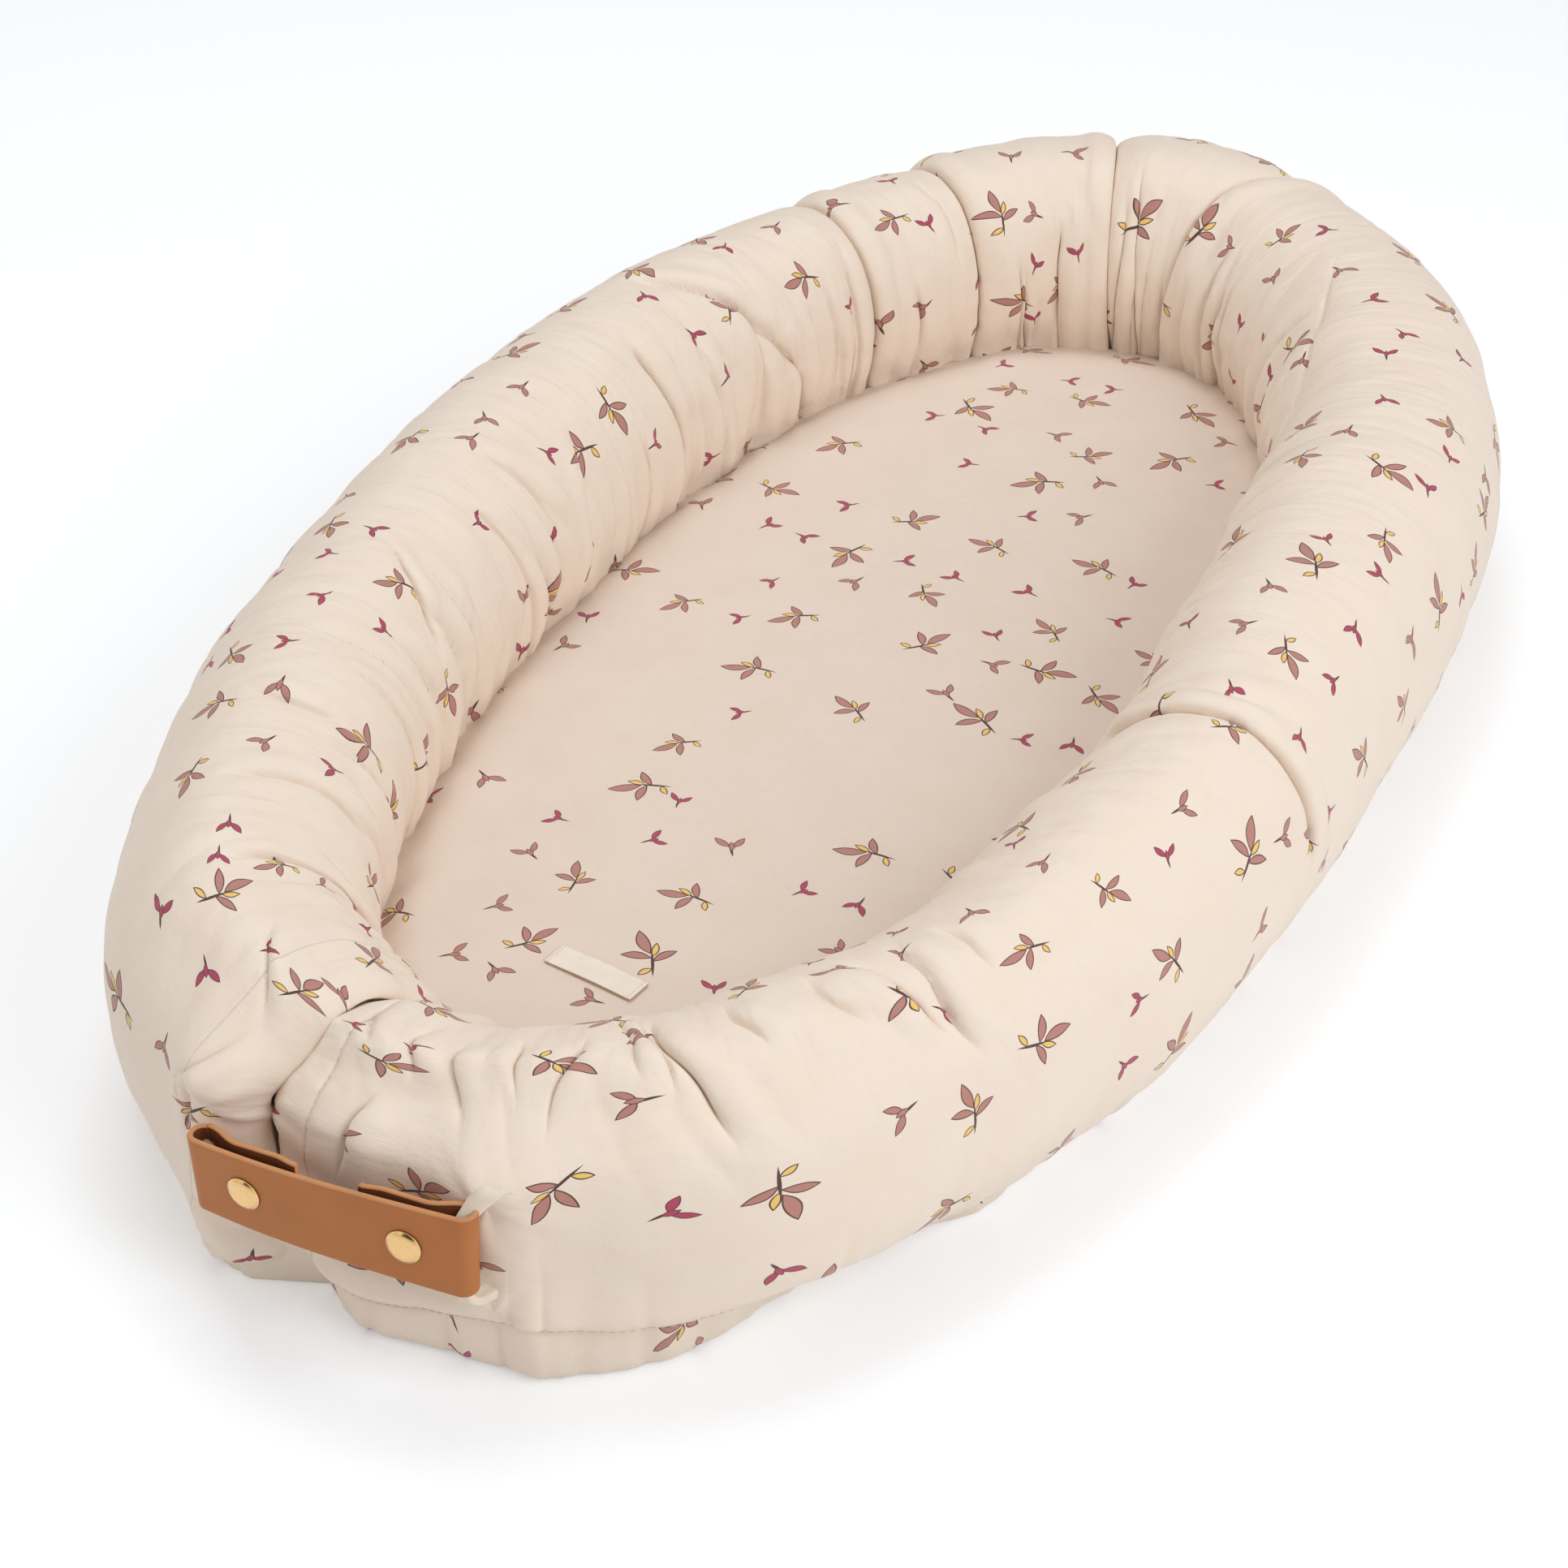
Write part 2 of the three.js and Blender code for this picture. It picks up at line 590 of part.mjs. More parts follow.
// The blank label, laid on the mattress's top cloth near the foot
function label(sheet) {
  const y = planFrame(0).place.y + LABEL_FROM_FOOT;
  const down = new THREE.Raycaster(
    new THREE.Vector3(LABEL_OFFSET, y, ROLL_HEIGHT), new THREE.Vector3(0, 0, -1),
  );
  const under = down.intersectObject(sheet)[0].point.z;
  const geometry = new THREE.BoxGeometry(LABEL_LENGTH, LABEL_WIDTH, LABEL_THICKNESS);
  return geometry.rotateZ(LABEL_TURN).translate(LABEL_OFFSET, y, under + SEAM_GAP + LABEL_THICKNESS / 2);
}

const finish = {
  sateen: { color: '#e9dccb', roughness: 0.75, metalness: 0 },
  lining: { color: '#e2d2be', roughness: 0.8, metalness: 0 },
  fibre: { color: '#f4f2ee', roughness: 0.95, metalness: 0 },
  satin: { color: '#efe6d6', roughness: 0.5, metalness: 0 },
  leather: { color: '#b4784a', roughness: 0.55, metalness: 0 },
  brass: { color: '#d9b36c', roughness: 0.2, metalness: 1 },
};

const lounger = new THREE.Group();
lounger.name = 'infant_lounger';

function addPiece(name, geometry, look) {
  const mesh = new THREE.Mesh(geometry, new THREE.MeshStandardMaterial(finish[look]));
  mesh.name = name;
  lounger.add(mesh);
  return mesh;
}

addPiece('bolster_cover', bolsterCover(), 'sateen');
addPiece('end_panel_right', endPanel(1), 'sateen');
addPiece('end_panel_left', endPanel(-1), 'sateen');
addPiece('bolster_fill', bolsterFill(), 'fibre');
addPiece('base_panel', basePanel(), 'lining');
addPiece('mattress_core', mattressCore(), 'fibre');
const sheetMesh = addPiece('mattress_sheet', mattressSheet(), 'sateen');
sheetMesh.updateMatrixWorld();
addPiece('label', label(sheetMesh), 'satin');
addPiece('strap_front', strapFront(), 'leather');
for (const [side, word] of [[-1, 'left'], [1, 'right']]) {
  addPiece(`belt_loop_${word}`, beltLoop(side), 'lining');
  addPiece(`strap_tail_${word}`, strapTail(side), 'leather');
  addPiece(`snap_cap_${word}`, snapCap(side), 'brass');
  addPiece(`snap_socket_${word}`, snapSocket(side), 'brass');
  addPiece(`snap_stud_${word}`, snapStud(side), 'brass');
  addPiece(`snap_post_${word}`, snapPost(side), 'brass');
}

// The origin is on the floor under the middle of the whole lounger
const middle = new THREE.Box3().setFromObject(lounger).getCenter(new THREE.Vector3());
lounger.position.set(-middle.x, -middle.y, 0);

export default lounger;
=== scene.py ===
import math

import bmesh
import bpy
import numpy as np
from mathutils import Matrix, Vector
from mathutils.bvhtree import BVHTree


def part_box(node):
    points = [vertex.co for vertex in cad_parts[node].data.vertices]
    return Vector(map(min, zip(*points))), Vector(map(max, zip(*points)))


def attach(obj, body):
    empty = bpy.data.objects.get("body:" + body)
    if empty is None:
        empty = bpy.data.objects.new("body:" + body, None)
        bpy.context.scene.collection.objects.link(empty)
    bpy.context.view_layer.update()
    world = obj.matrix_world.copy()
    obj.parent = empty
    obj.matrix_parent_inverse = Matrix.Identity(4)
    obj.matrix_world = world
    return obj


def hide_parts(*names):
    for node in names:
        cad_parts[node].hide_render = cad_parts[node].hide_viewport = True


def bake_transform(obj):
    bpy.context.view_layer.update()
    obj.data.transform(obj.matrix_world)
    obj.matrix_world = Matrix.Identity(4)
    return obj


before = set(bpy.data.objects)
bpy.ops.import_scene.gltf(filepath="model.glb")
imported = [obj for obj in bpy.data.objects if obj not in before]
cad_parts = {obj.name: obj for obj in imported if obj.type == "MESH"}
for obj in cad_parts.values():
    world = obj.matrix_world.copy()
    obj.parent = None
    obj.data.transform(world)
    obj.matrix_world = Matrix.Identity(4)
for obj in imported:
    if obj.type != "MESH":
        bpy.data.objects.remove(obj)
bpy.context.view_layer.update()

bl_info = {
    "name": "Infant lounger",
    "version": (1, 0, 0),
    "blender": (4, 5, 0),
    "location": "View3D > Sidebar > Lounger",
    "description": "Builds an infant lounger: soft roll, mattress, leather handle and press studs",
    "category": "Add Mesh",
}

MM = 0.001

# The roll, in metres, as in the part's own drawing
PATH_HALF_LENGTH = 0.372
PATH_HALF_WIDTH = 0.182
PLAN_SHIFT = (0.00021, 0.00083)
HALF_WIDTH = 0.051
HALF_HEIGHT = 0.061
DOME_LENGTH = 0.046
END_SEAM = 0.025
CLEFT_X = -0.024
CLEFT_GAP = 0.0012
OUTER_SEAM = math.radians(-50)
INNER_SEAM = math.radians(225)
UPPER_SQUARE_SHARE = 0.95
LOWER_SQUARE_SHARE = 0.65
DOME_BLUNT_SHARE = 2.6
FLOOR_RIM_SHARE = 0.43
# The stuffed right end swells past its sewing line, and the left end is squashed against it.
RIGHT_OVERHANG = 0.0156
END_CONTACT = 0.0018
UNDER_TUCK = 0.009
# Where the left end's lip starts and how full it still is where it meets the right end: over the
# crest and the inner side, then on the outer side.
LIP_STARTS = (-0.036, -0.044)
LIP_SHARES = (0.86, 0.72)
# Where the casing puckers round the sewn-in fabric bars: how far along the roll from the foot's
# middle, and at which heights
BAR_WAY = 0.040
BAR_ENDS = (0.0415, 0.0845)
# Each bar's side and name, and how much higher than those heights its upper and lower ends are
BARS = [(-1, "left", -0.0125, 0.0), (1, "right", 0.0025, 0.0028)]
# Each half's name and way up or down, how far sideways it ends, the row of its path where it bends
# back to the roll, and how soon it gets to its height
BAR_HALVES = [("upper", 1, 0.0070, 14, 1.25), ("lower", -1, 0.0035, 17, 1.45)]
# The bars' half width and half depth at the strap, how far their middle lies behind the front of
# the part's own bars, and how deep their ends go into the casing
BAR_HALF_WIDTH = 0.0033
BAR_HALF_DEPTH = 0.0021
BAR_SETBACK = 0.0018
BAR_SINK = 0.0035
# How full the fibre is, so that it keeps clear of the deepest creases
FIBRE_SHARE = 0.83

# How much fuller the stuffed casing is than the smooth drawing, in millimetres, at shares of the
# way round: below the belly, at the belly, at the crest, and how far its upper inner side stands
# outwards.
FULLNESS = [
    (0, -2, -1.5, -17.5, 27), (0.016, -2, -1, -15.5, 25), (0.038, -2, 0, -9, 14),
    (0.07, -5, -1, -5, 8), (0.1, -6, -1.5, -7, 14), (0.14, -6, -2, -6.5, 12),
    (0.19, -6.5, -2, -4.5, 7), (0.22, -6.5, -2, -0.5, 1), (0.26, -6, -2, 1, -5),
    (0.3, -4.5, -1.5, 1, -6), (0.335, -2, 1, 0, -2), (0.36, 0, 4, 1, 0), (0.39, 2, 6.5, 1.5, 0),
    (0.42, 2, 6.5, 1.4, 0), (0.45, 1, 2.6, 1.2, 0), (0.472, 1.5, 5.5, 4.5, 0),
    (0.49, 2, 7, 7.5, 0), (0.515, 2, 6, 7.5, 0), (0.545, 0, 3, 3, 0), (0.58, 0, -1, -1, 0),
    (0.64, 0, -1.5, -1.5, 0), (0.7, 0, 0, 0, 0), (0.77, 0, 0.5, 1, 0), (0.82, 0, -1, -1, 0),
    (0.87, 0, -2, -1, 0), (0.9, -1, -3.5, -1, 0), (0.93, -1, -3, -1.5, 1),
    (0.955, -2.5, -0.5, -5, 7), (0.968, -4, -1, -9, 13), (0.982, 0, -1, -13.5, 20),
]
# At the foot the roll sits down and bulges below the handle: how far out it reaches, in
# millimetres, at angles round the section in degrees, and how much of that holds at shares of the
# way round.
FOOT_SECTION = [
    (-90, 22), (-60, 50), (-50, 55), (-40, 57), (-30, 56.5), (-20, 54.6), (-10, 51.2), (0, 49.5),
]
FOOT_REACH = [(-0.052, 0.0), (-0.026, 1.0), (0.038, 1.0), (0.062, 0.0)]
# How far the outer seam is pulled up at the foot, in degrees, at shares of the way round
SEAM_RAISE = [
    (-0.075, 0), (-0.05, 12), (-0.03, 18), (0, 17), (0.02, 28), (0.066, 28), (0.088, 12),
    (0.125, 0),
]

# Local forms of the stuffed roll, in millimetres: how far the inner wall is cut back at the
# mattress, how far the underside tucks in where it clears the floor, the left end's low heel, the
# cheek beside each fabric bar with the brow above it, and the swelling over the handle's middle
UNDERCUT = 5.0
LIFT_TUCK = 8.0
HEEL = 6.0
CHEEK = 8.8
BROW = 8.0
OVER_HANDLE = 3.0
# Heights of the casing's lowest points and of its hidden floor
CASING_LOWEST = 0.0022
CASING_FLOOR = 0.0026

# Shares of the path's half width and half length, from the foot round one side to the head
PLAN_SHARES = [
    (0, -0.962), (0.275, -0.94), (0.522, -0.883), (0.806, -0.614), (0.951, -0.315), (1, -0.008),
    (0.977, 0.301), (0.852, 0.602), (0.548, 0.869), (0.291, 0.97), (0, 1),
]

# Waves of the cloth, in millimetres: height, length along the roll and round it, slant and seed
SAG = [(1.7, 95, 80, 0, 1), (0.9, 48, 60, 0, 2)]
DRAWN = [(1.0, 24, 105, 0.30, 3), (0.65, 12.5, 80, -0.20, 4)]
CRUMPLE = [(0.14, 7, 8, 0, 9), (0.22, 16, 17, 0, 10)]
MATTRESS_WAVES = [(0.9, 85, 110, 0, 31), (0.45, 36, 40, 0, 32)]

# Creases of the casing. Share of the way round where each starts and ends, the angles round the
# roll's section there in degrees (0 outer side, 90 crest, 180 inner side), then depth, half width
# and the height of the fold beside it in millimetres. The side of that fold is +1 or -1 along the
# way round.
CREASES = [
    (0.683, 0.634, 70, 220, 6.5, 3.2, 2.4, -1), (0.609, 0.61, 22, 230, 8.5, 3.4, 3, -1),
    (0.622, 0.621, 146, 222, 5, 2.6, 2, 1), (0.597, 0.594, 152, 222, 4.5, 2.6, 1.8, 1),
    (0.5695, 0.568, 18, 232, 9.5, 3.4, 3.2, -1), (0.58, 0.577, 92, 160, 3.4, 2.6, 1.4, 1),
    (0.556, 0.553, 150, 224, 4.5, 2.6, 1.8, 1), (0.524, 0.513, 18, 232, 9, 3, 3.2, 1),
    (0.538, 0.531, 138, 226, 7.5, 2.8, 2.2, -1), (0.505, 0.501, 146, 224, 4.5, 2.6, 1.8, 1),
    (0.468, 0.494, 24, 230, 9, 3.4, 3.4, -1), (0.452, 0.462, 146, 222, 5, 3, 1.8, 1),
    (0.65, 0.646, 150, 224, 4.6, 3, 1.8, 1), (0.706, 0.7, 104, 222, 6.6, 3.4, 2.4, -1),
    (0.727, 0.722, 138, 222, 4.4, 3.2, 1.8, -1), (0.43, 0.345, 96, 160, 3.4, 7, 0, 1),
    (0.2035, 0.1985, -8, 158, 7.5, 2.4, 3.4, 1), (0.214, 0.205, 30, 110, 2.4, 3.4, 1.4, 1),
    (0.0945, 0.086, 38, 114, 6, 2.8, 3, -1), (0.0985, 0.097, 26, 114, 6.4, 3, 3.2, 1),
    (0.08, 0.077, 60, 112, 3.4, 3.4, 1.8, 1), (0.11, 0.1075, 56, 108, 3.4, 3, 1.8, 1),
    (0.056, 0.0445, 32, 116, 6.8, 2.2, 2.6, 1), (0.05, 0.0415, 52, 120, 4.8, 1.9, 1.8, -1),
    (0.045, 0.038, 66, 122, 3.6, 1.8, 1.4, 1), (0.063, 0.06, 70, 112, 3.6, 2.4, 1.8, 1),
    (0.0295, 0.0335, 44, 104, 3.8, 2, 1.6, 1), (0.0235, 0.0205, 56, 114, 4.2, 1.9, 1.6, -1),
    (0.0155, 0.0105, 44, 108, 5.4, 2, 2, 1), (0.005, 0.0035, 58, 120, 4.2, 2, 1.6, 1),
    (-0.004, -0.007, 70, 126, 3.6, 2, 1.6, 1), (-0.003, 0.0015, 0, 54, 5.2, 2.6, 2.6, 1),
    (-0.019, -0.039, 50, 106, 3, 2.2, 1.6, 1), (-0.0205, -0.034, 58, 8, 3.2, 2.2, 1.6, 1),
    (-0.024, -0.03, 36, -10, 2.8, 2, 1.2, -1), (0.888, 0.89, 78, 136, 3.6, 3, 1.8, -1),
    (0.916, 0.913, 80, 168, 4, 3.2, 2, -1), (0.944, 0.938, 84, 190, 3.6, 2.8, 1.6, -1),
    (0.898, 0.889, 110, 214, 3.4, 2.8, 1.5, -1), (0.82, 0.842, 96, 164, 4.2, 2.3, 2, -1),
    (0.833, 0.825, 120, 216, 3.4, 2.8, 1.5, -1), (0.862, 0.855, 92, 214, 3.2, 2.8, 1.5, -1),
    (0.795, 0.787, 112, 216, 3.6, 2.8, 1.5, -1), (0.748, 0.768, 124, 228, 5.8, 3, 2.2, 1),
    (0.777, 0.771, 96, 168, 3.4, 3.6, 1.6, -1),
]

# The label tape, in metres, and how it is turned
LABEL_LENGTH = 0.040
LABEL_WIDTH = 0.0115
LABEL_THICKNESS = 0.0009
LABEL_TURN = math.radians(-8)

# How the handle hangs askew: half its length, how much higher its right end sits, how far it is all
# raised, and its lean in degrees, at its middle and what its right end has more
HANG_REACH = 0.055
HANG_RISE = 0.0024
HANG_LIFT = 0.0008
HANG_LEAN = (1, 3.5)

# The tails behind the handle: how far past its stud each turns to its fold, how strongly, and how
# far its tip bends to the front
TAIL_PAST_STUD = 0.0045
TAIL_PULL = 0.006
TAIL_BEND = 0.0014

# The brass caps: how far they sit from the handle's middle, how far the dome and its rim fall away
# from the top, half the rim's thickness, the cap's depth and its neck's radius
CAP_WAY = 0.031
CAP_FALL = 0.00122
CAP_RIM = 0.00126
CAP_ROLL = 0.00012
CAP_DEPTH = 0.0015
CAP_NECK = 0.0017

# The camera, and the lamps: name, place, what each aims at, its side in metres and its watts
CAMERA_LENS = 69.9
CAMERA_LOOK = (0.030, -0.1413, 0.0714)
CAMERA_DISTANCE = 1.185
CAMERA_TURN = (26, 35.3, 0.41)
LAMPS = [
    ("side_softbox", (1.65, -0.45, 1.25), (0, 0, 0.05), 1.3, 19.0),
    ("top_softbox", (-0.50, 0.40, 2.2), (0, 0, 0), 1.3, 18.0),
    ("front_softbox", (-1.3, -1.7, 1.3), (-0.1, -0.2, 0.05), 1.6, 7.5),
]
LAMP_COLOUR = (0.965, 0.995, 1.045)
FLOOR_SIDE = 6.0
FLOOR_DROP = 0.0004
# How brightly the even room lights the cloth, and its warm tint
ROOM_LEVEL = 0.405
ROOM_TINT = (1, 0.93, 0.85, 1)


def make_plan(steps=60):
    """Points along the closed line that the roll's middle follows, with the length up to each."""
    side = [(x * PATH_HALF_WIDTH, y * PATH_HALF_LENGTH) for x, y in PLAN_SHARES]
    points = np.array(side + [(-x, y) for x, y in side[-2:0:-1]])
    count = len(points)
    t = np.linspace(0, 1, steps, endpoint=False)[:, None]
    rows = []
    for i in range(count):
        a, b, c, d = (points[(i + k) % count] for k in (-1, 0, 1, 2))
        ab, bc, cd = (math.sqrt(np.linalg.norm(q - p)) for p, q in ((a, b), (b, c), (c, d)))
        start = ((b - a) / ab - (c - a) / (ab + bc) + (c - b) / bc) * bc
        end = ((c - b) / bc - (d - b) / (bc + cd) + (d - c) / cd) * bc
        square = -3 * b + 3 * c - 2 * start - end
        cube = 2 * b - 2 * c + start + end
        rows.append(cube * t ** 3 + square * t ** 2 + start * t + b)
    line = np.concatenate(rows + [rows[0][:1]])
    lengths = np.concatenate([[0], np.cumsum(np.linalg.norm(np.diff(line, axis=0), axis=1))])
    return line + PLAN_SHIFT, lengths


PLAN, PLAN_LENGTHS = make_plan()
PLAN_LENGTH = PLAN_LENGTHS[-1]
RIGHT_END = CLEFT_X + CLEFT_GAP / 2 - RIGHT_OVERHANG
LEFT_END = PLAN_LENGTH + CLEFT_X - CLEFT_GAP / 2
LEFT_SEAM = LEFT_END - END_SEAM


def plan_frame(distance):
    """Place on the plan line and its outward direction, at distances from the foot's middle."""
    reach = 0.002

    def place(d):
        d = np.mod(d, PLAN_LENGTH)
        return np.stack([np.interp(d, PLAN_LENGTHS, PLAN[:, k]) for k in (0, 1)], -1)

    along = place(distance + reach) - place(distance - reach)
    along /= np.linalg.norm(along, axis=-1, keepdims=True)
    return place(distance), np.stack([along[..., 1], -along[..., 0]], -1)


def from_foot(distance):
    """Share of the way round from the foot's middle, from -0.5 on the left to 0.5 on the right."""
    return (distance / PLAN_LENGTH + 0.5) % 1 - 0.5


def outer_seam(distance):
    """Angle round the section of the seam between the casing and the bottom panel."""
    return OUTER_SEAM + np.radians(np.interp(from_foot(distance), *zip(*SEAM_RAISE)))


def lifted(distance):
    """Where the roll's underside curves clear of the floor, right of the foot, from 0 to 1."""
    return band(from_foot(distance), 0.034, 0.080, 0.078, 0.108)


def squared(value, share):
    """A sine or cosine bent towards a rounded square, with its sign kept."""
    return np.sign(value) * np.abs(value) ** share


def smooth(value, low, high):
    """Eased step from 0 at low to 1 at high."""
    t = np.clip((value - low) / (high - low), 0, 1)
    return t * t * (3 - 2 * t)


def band(value, low, full, past, gone):
    """Eased rise from low to full, and eased fall from past to gone."""
    return smooth(value, low, full) * (1 - smooth(value, past, gone))


def right_tip(angle):
    """Where the right end's dome starts along the roll. It is tucked in near the floor."""
    down = -np.degrees(angle)
    return RIGHT_END + UNDER_TUCK * smooth(down, 5, 60) * (1 - smooth(down, 110, 150))


def dome_swell(distance, angle):
    """How far the right end has swelled, from 0 at its tip to 1 where the roll is full."""
    short = 1 - np.clip((distance - right_tip(angle)) / DOME_LENGTH, 0, 1)
    return (1 - short ** DOME_BLUNT_SHARE) ** (1 / DOME_BLUNT_SHARE)


def eased_table(rows, column, count=1440):
    """A table over the way round as a closed curve without corners."""
    shares = np.arange(count) / count
    values = np.interp(shares, [r[0] for r in rows], [r[column] for r in rows], period=1)
    window = np.hanning(51)
    wide = np.concatenate([values[-25:], values, values[:25]])
    return shares, np.convolve(wide, window / window.sum(), "valid")


FULL_SHARES, FULL_LOW = eased_table(FULLNESS, 1)
FULL_SIDE = eased_table(FULLNESS, 2)[1]
FULL_CREST = eased_table(FULLNESS, 3)[1]
FULL_INNER = eased_table(FULLNESS, 4)[1]


def roll_skin(distance, angle, swell=None, inset=0.0):
    """Smooth skin of the stuffed roll for grids of distances and section angles."""
    place, outward = plan_frame(distance)
    swell = dome_swell(distance, angle) if swell is None else swell
    degrees = np.degrees(angle)
    share = np.where(np.sin(angle) < 0, LOWER_SQUARE_SHARE, UPPER_SQUARE_SHARE)
    out = squared(np.cos(angle), share) * HALF_WIDTH
    up = squared(np.sin(angle), share) * HALF_HEIGHT
    way = (distance / PLAN_LENGTH) % 1
    low, side, crest, inner = (np.interp(way, FULL_SHARES, f, period=1)
                               for f in (FULL_LOW, FULL_SIDE, FULL_CREST, FULL_INNER))
    out += MM * low * band(degrees, -88, -40, -32, 4)
    out += MM * side * band(degrees, -32, 4, 50, 105)
    out += MM * 0.5 * crest * band(degrees, 20, 55, 60, 110)
    out += MM * inner * band(degrees, 24, 122, 148, 191)
    out += MM * UNDERCUT * smooth(degrees, 176, 197)
    up += MM * crest * band(degrees, 10, 60, 95, 175)
    signed = from_foot(distance)
    foot = smooth(np.interp(signed, *zip(*FOOT_REACH)), 0, 1) * band(degrees, -100, -88, -12, 6)
    reach = MM * np.interp(degrees, *zip(*FOOT_SECTION))
    out += foot * np.maximum(reach - out, 0)
    out -= MM * LIFT_TUCK * lifted(distance) * band(degrees, -88, -62, -50, -18)
    aside = signed * PLAN_LENGTH
    out += MM * HEEL * np.exp(-((aside + 0.043) / 0.013) ** 2) * band(degrees, -100, -72, -42, -12)
    cheek = np.abs(aside) - BAR_WAY - 0.002
    cheek = np.exp(-(cheek / np.where(cheek < 0, 0.014, 0.024)) ** 2)
    brow = np.exp(-((degrees - 38) / 20) ** 2)
    out += MM * cheek * (CHEEK * band(degrees, -45, -8, 20, 62) + BROW * brow)
    out += MM * OVER_HANDLE * np.exp(-(aside / 0.033) ** 2) * np.exp(-((degrees - 42) / 15) ** 2)
    out = (out - np.sign(out) * inset) * swell
    up = (up - np.sign(up) * inset) * swell
    flat = place + outward * out[..., None]
    return np.concatenate([flat, (HALF_HEIGHT + up)[..., None]], -1)


def section_table():
    """Angles round the section and the arc length from the outer seam to each, evenly fine."""
    angles = np.linspace(-math.pi, math.pi, 1441)
    share = np.where(np.sin(angles) < 0, LOWER_SQUARE_SHARE, UPPER_SQUARE_SHARE)
    x = squared(np.cos(angles), share) * HALF_WIDTH
    z = squared(np.sin(angles), share) * HALF_HEIGHT
    arc = np.concatenate([[0], np.cumsum(np.hypot(np.diff(x), np.diff(z)))])
    return angles, arc


SECTION_ANGLES, SECTION_ARCS = section_table()
ROUND_ARC = SECTION_ARCS[-1]


def arc_at(angle):
    """Arc length round the section, from the inner side under the roll to the given angle."""
    turns, rest = np.divmod(np.asarray(angle, float) + math.pi, 2 * math.pi)
    return turns * ROUND_ARC + np.interp(rest - math.pi, SECTION_ANGLES, SECTION_ARCS)


def angles_between(first, last, count):
    """Section angles spaced evenly by arc length."""
    arcs = np.linspace(arc_at(first), arc_at(last), count)
    turns, rest = np.divmod(arcs, ROUND_ARC)
    return turns * 2 * math.pi + np.interp(rest, SECTION_ARCS, SECTION_ANGLES)


def lumps(x, y, seed):
    """Random heights from -1 to 1 at whole numbers of x and y, joined smoothly."""
    table = np.random.default_rng(seed).uniform(-1, 1, (97, 97))
    x0, y0 = np.floor(x).astype(int), np.floor(y).astype(int)
    fx, fy = x - x0, y - y0
    fx = fx ** 3 * (fx * (fx * 6 - 15) + 10)
    fy = fy ** 3 * (fy * (fy * 6 - 15) + 10)
    low = table[x0 % 97, y0 % 97] * (1 - fx) + table[(x0 + 1) % 97, y0 % 97] * fx
    high = table[x0 % 97, (y0 + 1) % 97] * (1 - fx) + table[(x0 + 1) % 97, (y0 + 1) % 97] * fx
    return low * (1 - fy) + high * fy


def waves(x, y, rows):
    """Sets of lumps added up, each with a height, two lengths, a slant and a seed."""
    return sum(high * lumps((x + slant * y) / along, y / across, seed)
               for high, along, across, slant, seed in rows)


def tucks(x, y, seed, power, level):
    """Rounded folds with sharp valleys between them, lowered by a level."""
    return np.abs(lumps(x, y, seed)) ** power - level


def small_gathers(count, seed):
    """Short creases that run up from the inner seam, where the casing is drawn in."""
    rng = np.random.default_rng(seed)
    rows = []
    for start in np.sort(rng.uniform(0.03, 0.965, count)):
        left = 1.0 if start > 0.5 else 0.75
        top = rng.uniform(104, 176)
        lean = rng.uniform(-0.004, 0.004)
        depth = rng.uniform(1.4, 4.4) * left
        rows.append((start + lean, start, top, 216, depth, rng.uniform(1.8, 3.8), depth * 0.45,
                     rng.choice([-1, 1])))
    return rows


def crease_middle(row, degrees):
    """Where a crease runs along the roll, in metres, at each angle."""
    first, last, low, high = row[:4]
    way = np.clip((degrees - low) / (high - low), 0, 1)
    return (first + (last - first) * way) * PLAN_LENGTH + 0.0012 * np.sin(way * 7 + first * 90)


def crease_relief(distance, angle, rows):
    """Height of all creases over a grid, how far their folds lean, and the cloth hidden in them."""
    height, lean, hidden = np.zeros((3, *distance.shape))
    degrees = np.degrees(angle)
    for row in rows:
        low, high, depth, width, fold, side = row[2:]
        off = distance - crease_middle(row, degrees)
        off = (off + PLAN_LENGTH / 2) % PLAN_LENGTH - PLAN_LENGTH / 2
        ease = min(26.0, abs(high - low) / 2.6)
        fade = smooth((degrees - min(low, high)) / ease, 0, 1)
        fade = fade * smooth((max(low, high) - degrees) / ease, 0, 1) * (np.abs(off) < 0.08)
        w = width * MM
        past = off * side
        sharp, wide = (np.exp(-np.abs(off) / (share * w)) for share in (0.45, 2.6))
        valley = -depth * (0.62 * sharp + 0.38 * wide)
        if depth >= 6.5 and row[0] > 0.3:
            valley -= 0.40 * depth * np.exp(-np.abs(off) / 0.013)
        ridge = fold * np.exp(-((past - 2.3 * w) / (1.8 * w)) ** 2)
        height += fade * MM * (valley + ridge)
        tip = np.exp(-((past - 1.2 * w) / (1.2 * w)) ** 2)
        lean -= fade * side * MM * min(0.5 * depth, 1.5 * width) * tip
        if depth >= 5:
            drop = np.tanh(off / (0.35 * w)) * np.exp(-(off / 0.026) ** 2)
            hidden += fade * depth * MM * 0.55 * drop
    return height, lean, hidden


GATHERS = small_gathers(96, 5)
SHARP_CREASES = sorted((row for row in CREASES if row[4] >= 3.3 and abs(row[0] - row[1]) < 0.09),
                       key=lambda row: row[0])


